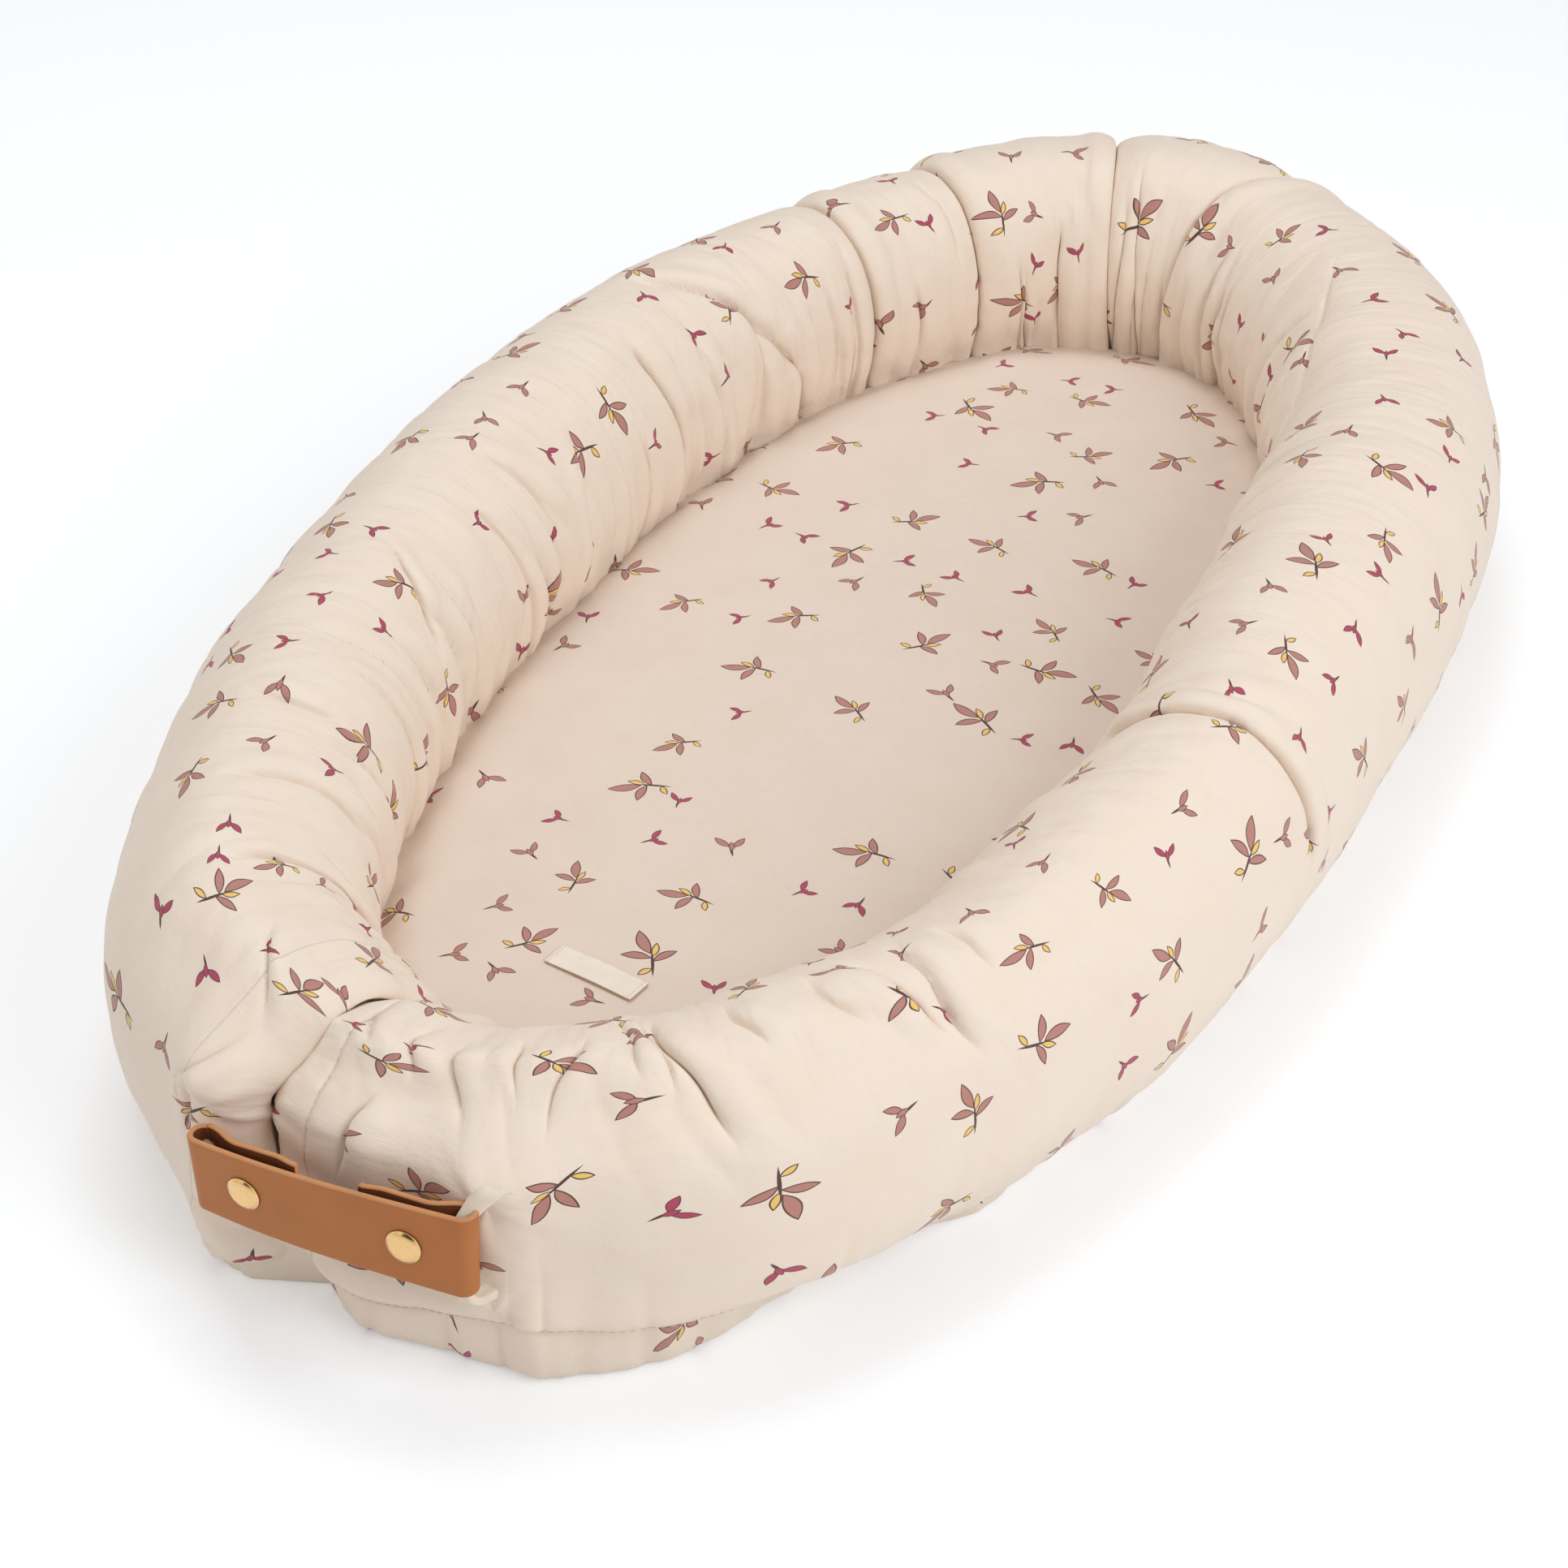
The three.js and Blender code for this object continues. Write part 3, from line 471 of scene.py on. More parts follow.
def bar_puckers(distance, height):
    """The uneven small folds round each end of a fabric bar, where it is sewn into the casing."""
    relief = np.zeros(distance.shape)
    for side in (-1, 1):
        for k, level in enumerate(BAR_ENDS):
            along = distance - side * (BAR_WAY + 0.001)
            along = (along + PLAN_LENGTH / 2) % PLAN_LENGTH - PLAN_LENGTH / 2
            away = np.hypot(along, height - level) / MM
            turn = np.arctan2(height - level, along)
            rays = np.cos(5 * turn + 1.3 + k) + 0.7 * np.cos(8 * turn + 2.1 * side)
            rays += 0.6 * np.cos(3 * turn + k)
            rays *= 0.6 + 0.4 * np.cos(turn - 0.4)
            relief += -2.2 * np.exp(-(away / 5.5) ** 2)
            relief += 0.75 * rays * (away / 9) * np.exp(1 - away / 9) * (away < 60)
    return relief


def roll_relief(distance, angle, swell):
    """Height of the folds above the smooth roll, their lean along it and the print's shift."""
    arc = arc_at(angle)
    degrees = np.degrees(angle)
    inner = smooth(degrees, 88, 180)
    creases, lean, hidden = crease_relief(distance, angle, CREASES)
    gathers, lean_too, hidden_too = crease_relief(distance, angle, GATHERS)
    x, y = distance / MM, arc / MM
    drawn = (0.55 + 1.25 * inner) * waves(x, y, DRAWN)
    puffs = tucks(x / 11.5, y / 85, 6, 0.75, 0.45) * 3.2 * smooth(degrees, 120, 196)
    crisp = tucks((x + 0.35 * y) / 15, y / 120, 11, 0.7, 0.42) * (1.2 + 1.2 * inner)
    crisp *= smooth(lumps(x / 55, y / 70, 12), -0.55, 0.35) * smooth(degrees, -15, 60)
    low = np.clip((arc - arc_at(outer_seam(distance))) / MM, 0, None)
    pucker = tucks(x / 8.5, y / 34, 7, 0.8, 0.5) * 1.8 * np.exp(-low / 14)
    pucker -= 2.4 * np.exp(-low / 2.4)
    to_seam = np.abs(distance - RIGHT_END - END_SEAM) / MM
    end_pucker = tucks(y / 9, x / 30, 8, 0.8, 0.5) * 0.9 * np.exp(-to_seam / 10)
    groove = -0.5 * np.exp(-to_seam / 1.1)
    ripples = 0.32 * lumps((x + 0.5 * y) / 4.2, y / 55, 13) * smooth(degrees, 0, 70)
    ripples *= smooth(lumps(x / 45, y / 60, 14), -0.3, 0.4)
    bars = bar_puckers(distance, HALF_HEIGHT + squared(np.sin(angle), 0.9) * HALF_HEIGHT)
    bars = bars * band(degrees, -60, -45, 60, 80)
    fine = waves(x, y, SAG + CRUMPLE) + drawn + puffs + crisp + pucker + end_pucker + ripples + bars
    full = smooth(swell, 0.25, 0.9)
    relief = (creases + gathers + (fine + groove) * MM) * full
    return relief, (lean + lean_too) * full, (hidden + hidden_too) * full


def normals_of(grid):
    """Outward unit normals of a grid of points, from its neighbours."""
    normal = np.cross(np.gradient(grid, axis=0), np.gradient(grid, axis=1))
    return normal / np.maximum(np.linalg.norm(normal, axis=-1, keepdims=True), 1e-12)


def folded_skin(distance, angle, swell=None):
    """The roll's skin with all its folds, and print coordinates in metres of cloth."""
    swell = dome_swell(distance, angle) if swell is None else swell
    base = roll_skin(distance, angle, swell)
    relief, lean, hidden = roll_relief(distance, angle, swell)
    grid = base + normals_of(base) * relief[..., None]
    outward = plan_frame(distance)[1]
    along = np.stack([-outward[..., 1], outward[..., 0]], -1)
    grid[..., :2] += along * lean[..., None]
    grid[..., 2] = np.maximum(grid[..., 2], CASING_LOWEST)
    return grid, np.stack([distance + hidden, arc_at(angle)], -1)


def casing_grid(column_step, row_step):
    """Distances and angles for the casing, with columns that follow the sharp creases closely."""
    first, last = RIGHT_END + END_SEAM, LEFT_SEAM
    arc = arc_at(INNER_SEAM) - arc_at(OUTER_SEAM)
    angles = angles_between(OUTER_SEAM, INNER_SEAM, int(arc / row_step))
    degrees = np.degrees(angles)
    paths = [crease_middle(row, degrees) for row in SHARP_CREASES]
    paths = [p for p in paths if first + 0.004 < p.min() and p.max() < last - 0.004]
    kept = []
    for path in paths:
        if not kept or (path - kept[-1]).min() > 0.006:
            kept.append(path)
    marks = np.array([first] + [p.mean() for p in kept] + [last])
    fine = np.linspace(first, last, 20000)
    near = np.abs(fine[:, None] - marks[None, 1:-1]).min(1)
    step = np.where(near < 0.0045, 0.3, np.where(near < 0.009, 0.55, 1.0)) * column_step
    count = np.concatenate([[0], np.cumsum((fine[1:] - fine[:-1]) / step[1:])])
    columns = np.interp(np.linspace(0, count[-1], int(count[-1])), count, fine)
    ways = np.stack([np.full(len(angles), first)] + kept + [np.full(len(angles), last)])
    distance = np.stack([np.interp(columns, marks, ways[:, j]) for j in range(len(angles))], 1)
    low = 1 - smooth(degrees, -50, 5)
    return distance, angles + (outer_seam(distance) - OUTER_SEAM) * low


def link(name, data):
    """An object for some data, in the scene."""
    item = bpy.data.objects.new(name, data)
    bpy.context.scene.collection.objects.link(item)
    return item


def new_object(name, points, faces, material, uvs=None):
    """A mesh object at the origin with its place in its points."""
    mesh = bpy.data.meshes.new(name)
    points = np.asarray(points, float).reshape(-1, 3)
    mesh.from_pydata(points.tolist(), [], [tuple(int(i) for i in f) for f in faces])
    if uvs is not None:
        layer = mesh.uv_layers.new(name="cloth")
        loops = np.empty(len(mesh.loops), int)
        mesh.loops.foreach_get("vertex_index", loops)
        layer.data.foreach_set("uv", np.asarray(uvs, float).reshape(-1, 2)[loops].ravel())
    mesh.update()
    mesh.shade_smooth()
    for each in (material if isinstance(material, list) else [material]):
        mesh.materials.append(each)
    return link(name, mesh)


def grid_faces(rows, columns, round_columns=False):
    """Quads that join a grid of points, outward where rows go along and columns go round."""
    i = np.arange(rows - 1)
    j = np.arange(columns if round_columns else columns - 1)
    i, j = (k.ravel() for k in np.meshgrid(i, j, indexing="ij"))
    i, i2, j2 = i * columns, (i + 1) * columns, (j + 1) % columns
    return np.stack([i + j, i2 + j, i2 + j2, i + j2], -1)


def tube_faces(rows, columns):
    """Faces of a closed tube over a grid of points, with one flat face over each end, last."""
    faces = [tuple(f) for f in grid_faces(rows, columns, True)]
    faces.append(tuple(range(columns)))
    faces.append(tuple((rows - 1) * columns + k for k in reversed(range(columns))))
    return faces


def recalculate(piece):
    """Turns all faces of a closed piece outwards."""
    work = bmesh.new()
    work.from_mesh(piece.data)
    bmesh.ops.remove_doubles(work, verts=work.verts, dist=1e-7)
    bmesh.ops.recalc_face_normals(work, faces=work.faces)
    work.to_mesh(piece.data)
    work.free()
    piece.data.update()
    return piece


def place_on(piece, body, node):
    """Rides a finished piece on its body, in place of its node."""
    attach(piece, body)
    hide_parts(node)
    return piece


# Materials


def linear(code):
    """An sRGB hex colour as linear red, green, blue and alpha."""
    parts = [int(code[i:i + 2], 16) / 255 for i in (1, 3, 5)]
    return [p / 12.92 if p <= 0.04045 else ((p + 0.055) / 1.055) ** 2.4 for p in parts] + [1.0]


def shaded(colour, share):
    """A linear colour made darker or lighter by a share, with no channel past 1."""
    return [min(1.0, c * share) for c in colour[:3]] + [1.0]


def add(tree, kind, values=None, **settings):
    """Adds a node, sets its properties, and sets or links its inputs by name or number. A node as
    a value stands for its first output."""
    node = tree.nodes.new(kind)
    for key, value in settings.items():
        setattr(node, key, value)
    for key, value in (values or {}).items():
        if isinstance(value, bpy.types.Node):
            value = value.outputs[0]
        if isinstance(value, bpy.types.NodeSocket):
            tree.links.new(value, node.inputs[key])
        else:
            node.inputs[key].default_value = value
    return node


def new_material(name):
    """An empty material and its nodes."""
    material = bpy.data.materials.new(name)
    material.use_nodes = True
    material.node_tree.nodes.clear()
    return material, material.node_tree


def finish_material(material, values):
    """Ends a material with one Principled shader, which takes the values on its own sockets."""
    shader = add(material.node_tree, "ShaderNodeBsdfPrincipled", values)
    add(material.node_tree, "ShaderNodeOutputMaterial", {"Surface": shader})
    return material


def leaf(tree, point, base, angle, length, width, bend):
    """How far inside a pointed leaf a point lies, in millimetres, below 0 outside it."""
    local = add(tree, "ShaderNodeMapping", {
        "Vector": point, "Location": (*base, 0), "Rotation": (0, 0, math.radians(angle)),
        "Scale": (length, width, 1),
    }, vector_type="TEXTURE")
    part = add(tree, "ShaderNodeSeparateXYZ", {0: local}).outputs
    rest = add(tree, "ShaderNodeMath", {0: 1.0, 1: part["X"]}, operation="SUBTRACT")
    swell = add(tree, "ShaderNodeMath", {0: part["X"], 1: rest}, operation="MULTIPLY")
    curved = {0: swell, 1: bend, 2: part["Y"]}
    curved = add(tree, "ShaderNodeMath", curved, operation="MULTIPLY_ADD")
    across = add(tree, "ShaderNodeMath", {0: curved}, operation="ABSOLUTE")
    wide = add(tree, "ShaderNodeMath", {0: swell, 1: 4.0}, operation="MULTIPLY")
    inside = add(tree, "ShaderNodeMath", {0: wide, 1: across}, operation="SUBTRACT")
    return add(tree, "ShaderNodeMath", {0: inside, 1: width}, operation="MULTIPLY")


def cover(tree, colour, height, low, high, paint, present):
    """Paints a colour where a height is past a level, on motifs that are present."""
    mask = add(tree, "ShaderNodeMapRange", {"Value": height, "From Min": low, "From Max": high})
    shown = add(tree, "ShaderNodeMath", {0: mask, 1: present}, operation="MULTIPLY")
    mix = {0: shown, 6: colour, 7: paint}
    return add(tree, "ShaderNodeMix", mix, data_type="RGBA").outputs[2]


def scattered(tree, point, spacing, randomness, smallest, largest):
    """Cells over the cloth: their middles, chances, and points turned and sized by them, in mm."""
    cells = add(tree, "ShaderNodeTexVoronoi", {
        "Vector": point, "Scale": 1 / spacing, "Randomness": randomness,
    }, voronoi_dimensions="2D", feature="F1").outputs
    chance = add(tree, "ShaderNodeSeparateColor", {0: cells["Color"]}).outputs
    away = add(tree, "ShaderNodeVectorMath", {0: point, 1: cells["Position"]}, operation="SUBTRACT")
    angle = add(tree, "ShaderNodeMath", {0: chance[0], 1: 2 * math.pi}, operation="MULTIPLY")
    turned = add(tree, "ShaderNodeVectorRotate", {"Vector": away, "Angle": angle},
                 rotation_type="Z_AXIS")
    size = add(tree, "ShaderNodeMapRange", {
        "Value": chance[1], "To Min": 1 / smallest, "To Max": 1 / largest,
    })
    local = add(tree, "ShaderNodeVectorMath", {0: turned, "Scale": size}, operation="SCALE")
    return cells["Position"], chance, local


# The print's large and small sprigs stand this far apart, and small ones keep this clear of large
# ones, in millimetres of cloth.
LARGE_SPACING = 50.0
SMALL_SPACING = 34.0
SPRIG_CLEARANCE = 18.0
# Leaf sprigs in their own millimetres: base, angle, length, half width, bend and paint of each leaf
LARGE_SPRIG = [
    ((-8.5, 0.6), -4, 10.5, 0.42, 1.2, "outline"),
    ((0.4, 0.2), 12, 10.0, 1.75, -1.1, "rose"),
    ((-1.2, 0.1), 74, 8.2, 1.45, 1.3, "rose"),
    ((-2.6, 0.0), -62, 7.6, 1.35, -1.4, "rose"),
    ((-5.2, 0.3), 118, 4.6, 1.05, 0.6, "mustard"),
    ((-0.6, -0.1), -18, 5.6, 1.05, 0.8, "mustard"),
]
SMALL_SPRIG = [
    ((-3.6, 0.1), 2, 5.0, 0.34, 0.8, "outline"),
    ((0.2, 0.1), 38, 5.4, 1.0, -1.0, "berry"),
    ((0.0, -0.1), -46, 4.9, 0.95, 1.0, "berry"),
    ((-1.2, 0.0), -4, 3.4, 0.8, 0.2, "berry"),
]


def paint_sprig(tree, colour, local, sprig, line, present, rosy=None):
    """Draws the leaves of one sprig over the colour below it, each with a thin dark outline."""
    colours = bpy.context.scene.lounger_colours
    for *shape, paint in sprig:
        height = leaf(tree, local, *shape)
        colour = cover(tree, colour, height, -0.06, 0.06, colours.outline, present)
        if paint != "outline":
            tone = getattr(colours, paint)
            if rosy is not None:
                mix = {0: rosy, 6: tone, 7: colours.rose}
                tone = add(tree, "ShaderNodeMix", mix, data_type="RGBA").outputs[2]
            colour = cover(tree, colour, height, line - 0.06, line + 0.08, tone, present)
    return colour


def printed_sateen(name, dark, light, gathered):
    """Cotton sateen, woven, printed and washed: a soft matt sheen, slubs and fine crush marks."""
    material, tree = new_material(name)
    uv = add(tree, "ShaderNodeUVMap", uv_map="cloth")
    point = add(tree, "ShaderNodeVectorMath", {0: uv, "Scale": 1000.0}, operation="SCALE")
    slub = add(tree, "ShaderNodeTexNoise", {"Vector": point, "Scale": 0.035, "Detail": 3.0})
    mix = {0: slub, 6: dark, 7: light}
    colour = add(tree, "ShaderNodeMix", mix, data_type="RGBA").outputs[2]
    chance, local = scattered(tree, point, LARGE_SPACING, 0.5, 1.12, 1.5)[1:]
    shown = add(tree, "ShaderNodeMath", {0: chance[2], 1: 0.22}, operation="GREATER_THAN")
    colour = paint_sprig(tree, colour, local, LARGE_SPRIG, 0.34, shown)
    middle, chance, local = scattered(tree, point, SMALL_SPACING, 0.55, 1.25, 1.7)
    beside = add(tree, "ShaderNodeTexVoronoi", {
        "Vector": middle, "Scale": 1 / LARGE_SPACING, "Randomness": 0.5,
    }, voronoi_dimensions="2D", feature="F1")
    levels = ((beside, SPRIG_CLEARANCE / LARGE_SPACING), (chance[2], 0.15), (chance[1], 0.62))
    clear, keep, rosy = (add(tree, "ShaderNodeMath", {0: value, 1: level}, operation="GREATER_THAN")
                         for value, level in levels)
    shown = add(tree, "ShaderNodeMath", {0: clear, 1: keep}, operation="MULTIPLY")
    colour = paint_sprig(tree, colour, local, SMALL_SPRIG, 0.22, shown, rosy)
    # Sateen threads lie 0.2 mm apart. They are drawn at 0.7 mm, so that the weave shows at all.
    weave = add(tree, "ShaderNodeTexWave", {
        "Vector": point, "Scale": 0.22, "Distortion": 1.5, "Detail": 2.0, "Detail Scale": 0.6,
    }, bands_direction="Y").outputs["Fac"]
    crush = add(tree, "ShaderNodeTexNoise", {
        "Vector": point, "Scale": 0.11, "Detail": 4.0, "Roughness": 0.55,
    })
    fine = add(tree, "ShaderNodeBump", {"Height": weave, "Strength": 0.12, "Distance": 0.00012})
    bump = add(tree, "ShaderNodeBump", {
        "Height": crush, "Strength": 0.55, "Distance": 0.0011, "Normal": fine,
    })
    if gathered:
        # Where the casing is drawn in, it ripples across the roll every few millimetres.
        long = add(tree, "ShaderNodeMapping", {
            "Vector": point, "Rotation": (0, 0, 0.12), "Scale": (0.16, 0.016, 1),
        })
        ripple = add(tree, "ShaderNodeTexNoise", {"Vector": long, "Scale": 1.0, "Detail": 2.5})
        drawn = add(tree, "ShaderNodeMapRange", {
            "Value": add(tree, "ShaderNodeSeparateXYZ", {0: point}).outputs["Y"],
            "From Min": float(arc_at(math.radians(15))) / MM,
            "From Max": float(arc_at(math.radians(85))) / MM, "To Min": 0.1, "To Max": 1.0,
        })
        height = add(tree, "ShaderNodeMath", {0: ripple, 1: drawn}, operation="MULTIPLY")
        bump = add(tree, "ShaderNodeBump", {
            "Height": height, "Strength": 0.6, "Distance": 0.0022, "Normal": bump,
        })
    return finish_material(material, {
        "Roughness": 0.60, "Sheen Weight": 0.2, "Sheen Roughness": 0.45, "Specular IOR Level": 0.35,
        "Base Color": colour, "Normal": bump,
    })


def clouded(name, scale, detail, dark, light):
    """A material whose colour drifts between two tones, with a noise of this scale per metre."""
    material, tree = new_material(name)
    point = add(tree, "ShaderNodeTexCoord").outputs["Object"]
    cloud = add(tree, "ShaderNodeTexNoise", {"Vector": point, "Scale": scale, "Detail": detail})
    mix = {0: cloud, 6: dark, 7: light}
    colour = add(tree, "ShaderNodeMix", mix, data_type="RGBA").outputs[2]
    return material, point, cloud, colour


def plain_cloth(name, tone, roughness, thread, depth):
    """Plain woven cloth, with crossed threads at a spacing in millimetres."""
    material, point, _, colour = clouded(name, 160.0, 3.0, shaded(tone, 0.86), tone)
    tree = material.node_tree
    wave = {"Vector": point, "Scale": math.pi / (10 * thread * MM)}
    across, along = (add(tree, "ShaderNodeTexWave", wave, bands_direction=axis).outputs["Fac"]
                     for axis in "XY")
    both = add(tree, "ShaderNodeMath", {0: across, 1: along}, operation="MULTIPLY")
    bump = add(tree, "ShaderNodeBump", {"Height": both, "Strength": 0.5, "Distance": depth * MM})
    return finish_material(material, {
        "Roughness": roughness, "Sheen Weight": 0.2, "Specular IOR Level": 0.3,
        "Base Color": colour, "Normal": bump,
    })


def fibre_filling(dark, light):
    """Loose polyester fibre: white, matt and woolly, with soft clumps a few millimetres across."""
    material, _, clumps, colour = clouded("polyester_fibre", 220.0, 6.0, dark, light)
    bump = add(material.node_tree, "ShaderNodeBump", {
        "Height": clumps, "Strength": 0.9, "Distance": 0.002,
    })
    return finish_material(material, {
        "Roughness": 0.95, "Sheen Weight": 0.4, "Base Color": colour, "Normal": bump,
    })


def strap_leather(name, tone, roughness, grain, depth, mottle):
    """Vegetable-tanned leather. The grain is a net of pebbles this many millimetres across, and the
    colour clouds gently where hands have rubbed it."""
    dark, light = shaded(tone, 1 - mottle), shaded(tone, 1 + mottle)
    material, point, _, colour = clouded(name, 75.0, 5.0, dark, light)
    tree = material.node_tree
    pebbles = add(tree, "ShaderNodeTexVoronoi", {"Vector": point, "Scale": 1000 / grain},
                  feature="SMOOTH_F1")
    hair = add(tree, "ShaderNodeTexNoise", {"Vector": point, "Scale": 1600.0, "Detail": 4.0})
    both = add(tree, "ShaderNodeMath", {0: pebbles, 1: hair}, operation="ADD")
    bump = add(tree, "ShaderNodeBump", {"Height": both, "Strength": 0.35, "Distance": depth * MM})
    return finish_material(material, {
        "Roughness": roughness, "Specular IOR Level": 0.25, "Base Color": colour, "Normal": bump,
    })


def polished_brass(dark, light):
    """Pressed and polished brass: a pale gold mirror with faint swirls from the polishing mop."""
    material, _, swirl, colour = clouded("polished_brass", 900.0, 3.0, dark, light)
    tree = material.node_tree
    rough = add(tree, "ShaderNodeMapRange", {"Value": swirl, "To Min": 0.14, "To Max": 0.26})
    bump = add(tree, "ShaderNodeBump", {"Height": swirl, "Strength": 0.03, "Distance": 0.0001})
    return finish_material(material, {
        "Metallic": 1.0, "Roughness": rough, "Base Color": colour, "Normal": bump,
    })


def make_materials():
    """All the finishes, by the short names that the pieces use."""
    c = bpy.context.scene.lounger_colours
    return {
        "print": printed_sateen("cotton_sateen_printed", c.cloth_shade, c.cloth, True),
        # The same printed sateen, not gathered, in darker tones: painted shade on the mattress
        # between the walls.
        "flat_print_painted_shade": printed_sateen("cotton_sateen_stretched_painted_shade", c.mattress_dark_painted_shade, c.mattress,
                                     False),
        "plain": plain_cloth("plain_cotton", c.plain_cotton, 0.75, 0.5, 0.1),
        "fibre": fibre_filling(c.fibre_shade, c.fibre),
        "tape": plain_cloth("woven_satin_tape", c.tape, 0.5, 0.45, 0.06),
        "tape_edge": plain_cloth("cut_tape_edge", c.tape_edge, 0.8, 0.4, 0.05),
        "thread": plain_cloth("sewing_thread", c.thread, 0.6, 0.3, 0.05),
        "grain": strap_leather("leather_grain_side", c.leather_grain, 0.48, 0.55, 0.05, 0.10),
        "flesh": strap_leather("leather_flesh_side", c.leather_flesh, 0.9, 0.35, 0.12, 0.22),
        "edge": strap_leather("leather_cut_edge", c.leather_edge, 0.75, 0.4, 0.08, 0.15),
        "brass": polished_brass(c.brass_shade, c.brass),
    }


MATERIALS = {}


# Settings that a user would change


def metres(name, default, description):
    """A setting for a length."""
    return bpy.props.FloatProperty(name=name, description=description, default=default,
                                   unit="LENGTH")


def swatch(name, code, description):
    """A setting for a colour, given as sRGB hex."""
    return bpy.props.FloatVectorProperty(name=name, description=description, default=linear(code),
                                         size=4, subtype="COLOR", min=0.0, max=1.0)


class LOUNGER_PG_sizes(bpy.types.PropertyGroup):
    """Sizes of the soft goods' detail."""
    column_step: metres("Step along", 0.0017, "Length of a face along the roll")
    row_step: metres("Step round", 0.0021, "Length of a face round the roll")
    fill_inset: metres("Fibre inset", 0.009, "How far the fibre lies inside the casing")
    base_thickness: metres("Bottom cloth", 0.0012, "Thickness of the bottom panel")
    stitch_length: metres("Stitch", 0.0022, "Length of one visible stitch")


class LOUNGER_PG_handle(bpy.types.PropertyGroup):
    """Sizes of the leather handle."""
    thickness: metres("Leather", 0.002, "Thickness of the strap leather")
    half_span: metres("Half span", 0.05, "From the handle's middle to where each fold starts")
    bow: metres("Bow", 0.002, "How far the front bows outwards")
    fold_radius: metres("Fold radius", 0.004, "Radius of the fold at the leather's middle")


class LOUNGER_PG_colours(bpy.types.PropertyGroup):
    """Colours of the cloth, print, leather, brass and floor."""
    cloth: swatch("Casing", "#f3e6d7", "Light tone of the roll's cotton")
    cloth_shade: swatch("Casing shade", "#eddccb", "Dark tone of the roll's cotton")
    # The mattress tones are the casing's cotton made darker: painted shade for the hollow between
    # the roll's walls.
    mattress: swatch("Mattress", "#eadbcd", "Light tone of the mattress cotton")
    mattress_dark_painted_shade: swatch("Mattress shade", "#e3d1c2", "Dark tone of the mattress cotton")
    rose: swatch("Rose", "#bb8479", "The print's large leaves, and some small ones")
    berry: swatch("Berry", "#b54866", "The print's small leaves")
    mustard: swatch("Mustard", "#f1c972", "The print's yellow leaves")
    outline: swatch("Outline", "#5b4038", "The print's stems and outlines")
    plain_cotton: swatch("Plain cotton", "#f3e5d2", "The fabric bars")
    fibre: swatch("Fibre", "#f4f2ee", "Light tone of the fibre and wadding")
    fibre_shade: swatch("Fibre shade", "#dedad2", "Dark tone of the fibre and wadding")
    thread: swatch("Thread", "#e3d3c0", "Sewing thread")
    tape: swatch("Label tape", "#fbf0e2", "The label's satin")
    tape_edge: swatch("Label edge", "#d3b48c", "The label's cut edge")
    leather_grain: swatch("Leather", "#b7733f", "The leather's grain side")
    leather_flesh: swatch("Leather back", "#7a4526", "The leather's flesh side")
    leather_edge: swatch("Leather edge", "#c98f62", "The leather's cut edge")
    brass: swatch("Brass", "#eccb97", "Light tone of the press studs")
    brass_shade: swatch("Brass shade", "#deb271", "Dark tone of the press studs")
    floor: swatch("Floor", "#f4f4f4", "The floor as it lights the lounger")
    floor_seen: swatch("Floor seen", "#ecf0f4", "The floor as it is seen and mirrored")


class LoungerOperator:
    """What all the operators share."""
    bl_options = {"REGISTER", "UNDO"}

    @classmethod
    def poll(cls, context):
        return context.scene is not None


def closed_roll(name, distance, angle, material, swell=None, floor=False):
    """A closed piece of the roll over a grid. Its floor, if any, joins the two long edges."""
    grid, uv = folded_skin(distance, angle, swell)
    if floor:
        first, last = grid[:, :1], grid[:, -1:]
        low = np.concatenate([last * 0.75 + first * 0.25, last * 0.45 + first * 0.55], 1)
        low[..., 2] = CASING_FLOOR
        grid = np.concatenate([grid, low], 1)
        uv = np.concatenate([uv, uv[:, -1:] + (0, 0.02), uv[:, -1:] + (0, 0.04)], 1)
    piece = new_object(name, grid, tube_faces(*grid.shape[:2]), material, uv)
    for cap in piece.data.polygons[-2:]:
        cap.use_smooth = False
    return recalculate(piece)


class LOUNGER_OT_casing(LoungerOperator, bpy.types.Operator):
    """Make the roll's printed cotton casing with its gathers and creases"""
    bl_idname = "lounger.casing"
    bl_label = "Roll casing"

    def execute(self, context):
        sizes = context.scene.lounger_sizes
        distance, angle = casing_grid(sizes.column_step, sizes.row_step)
        piece = closed_roll("roll_casing", distance, angle, MATERIALS["print"], floor=True)
        place_on(piece, "nest", "bolster_cover")
        return {"FINISHED"}


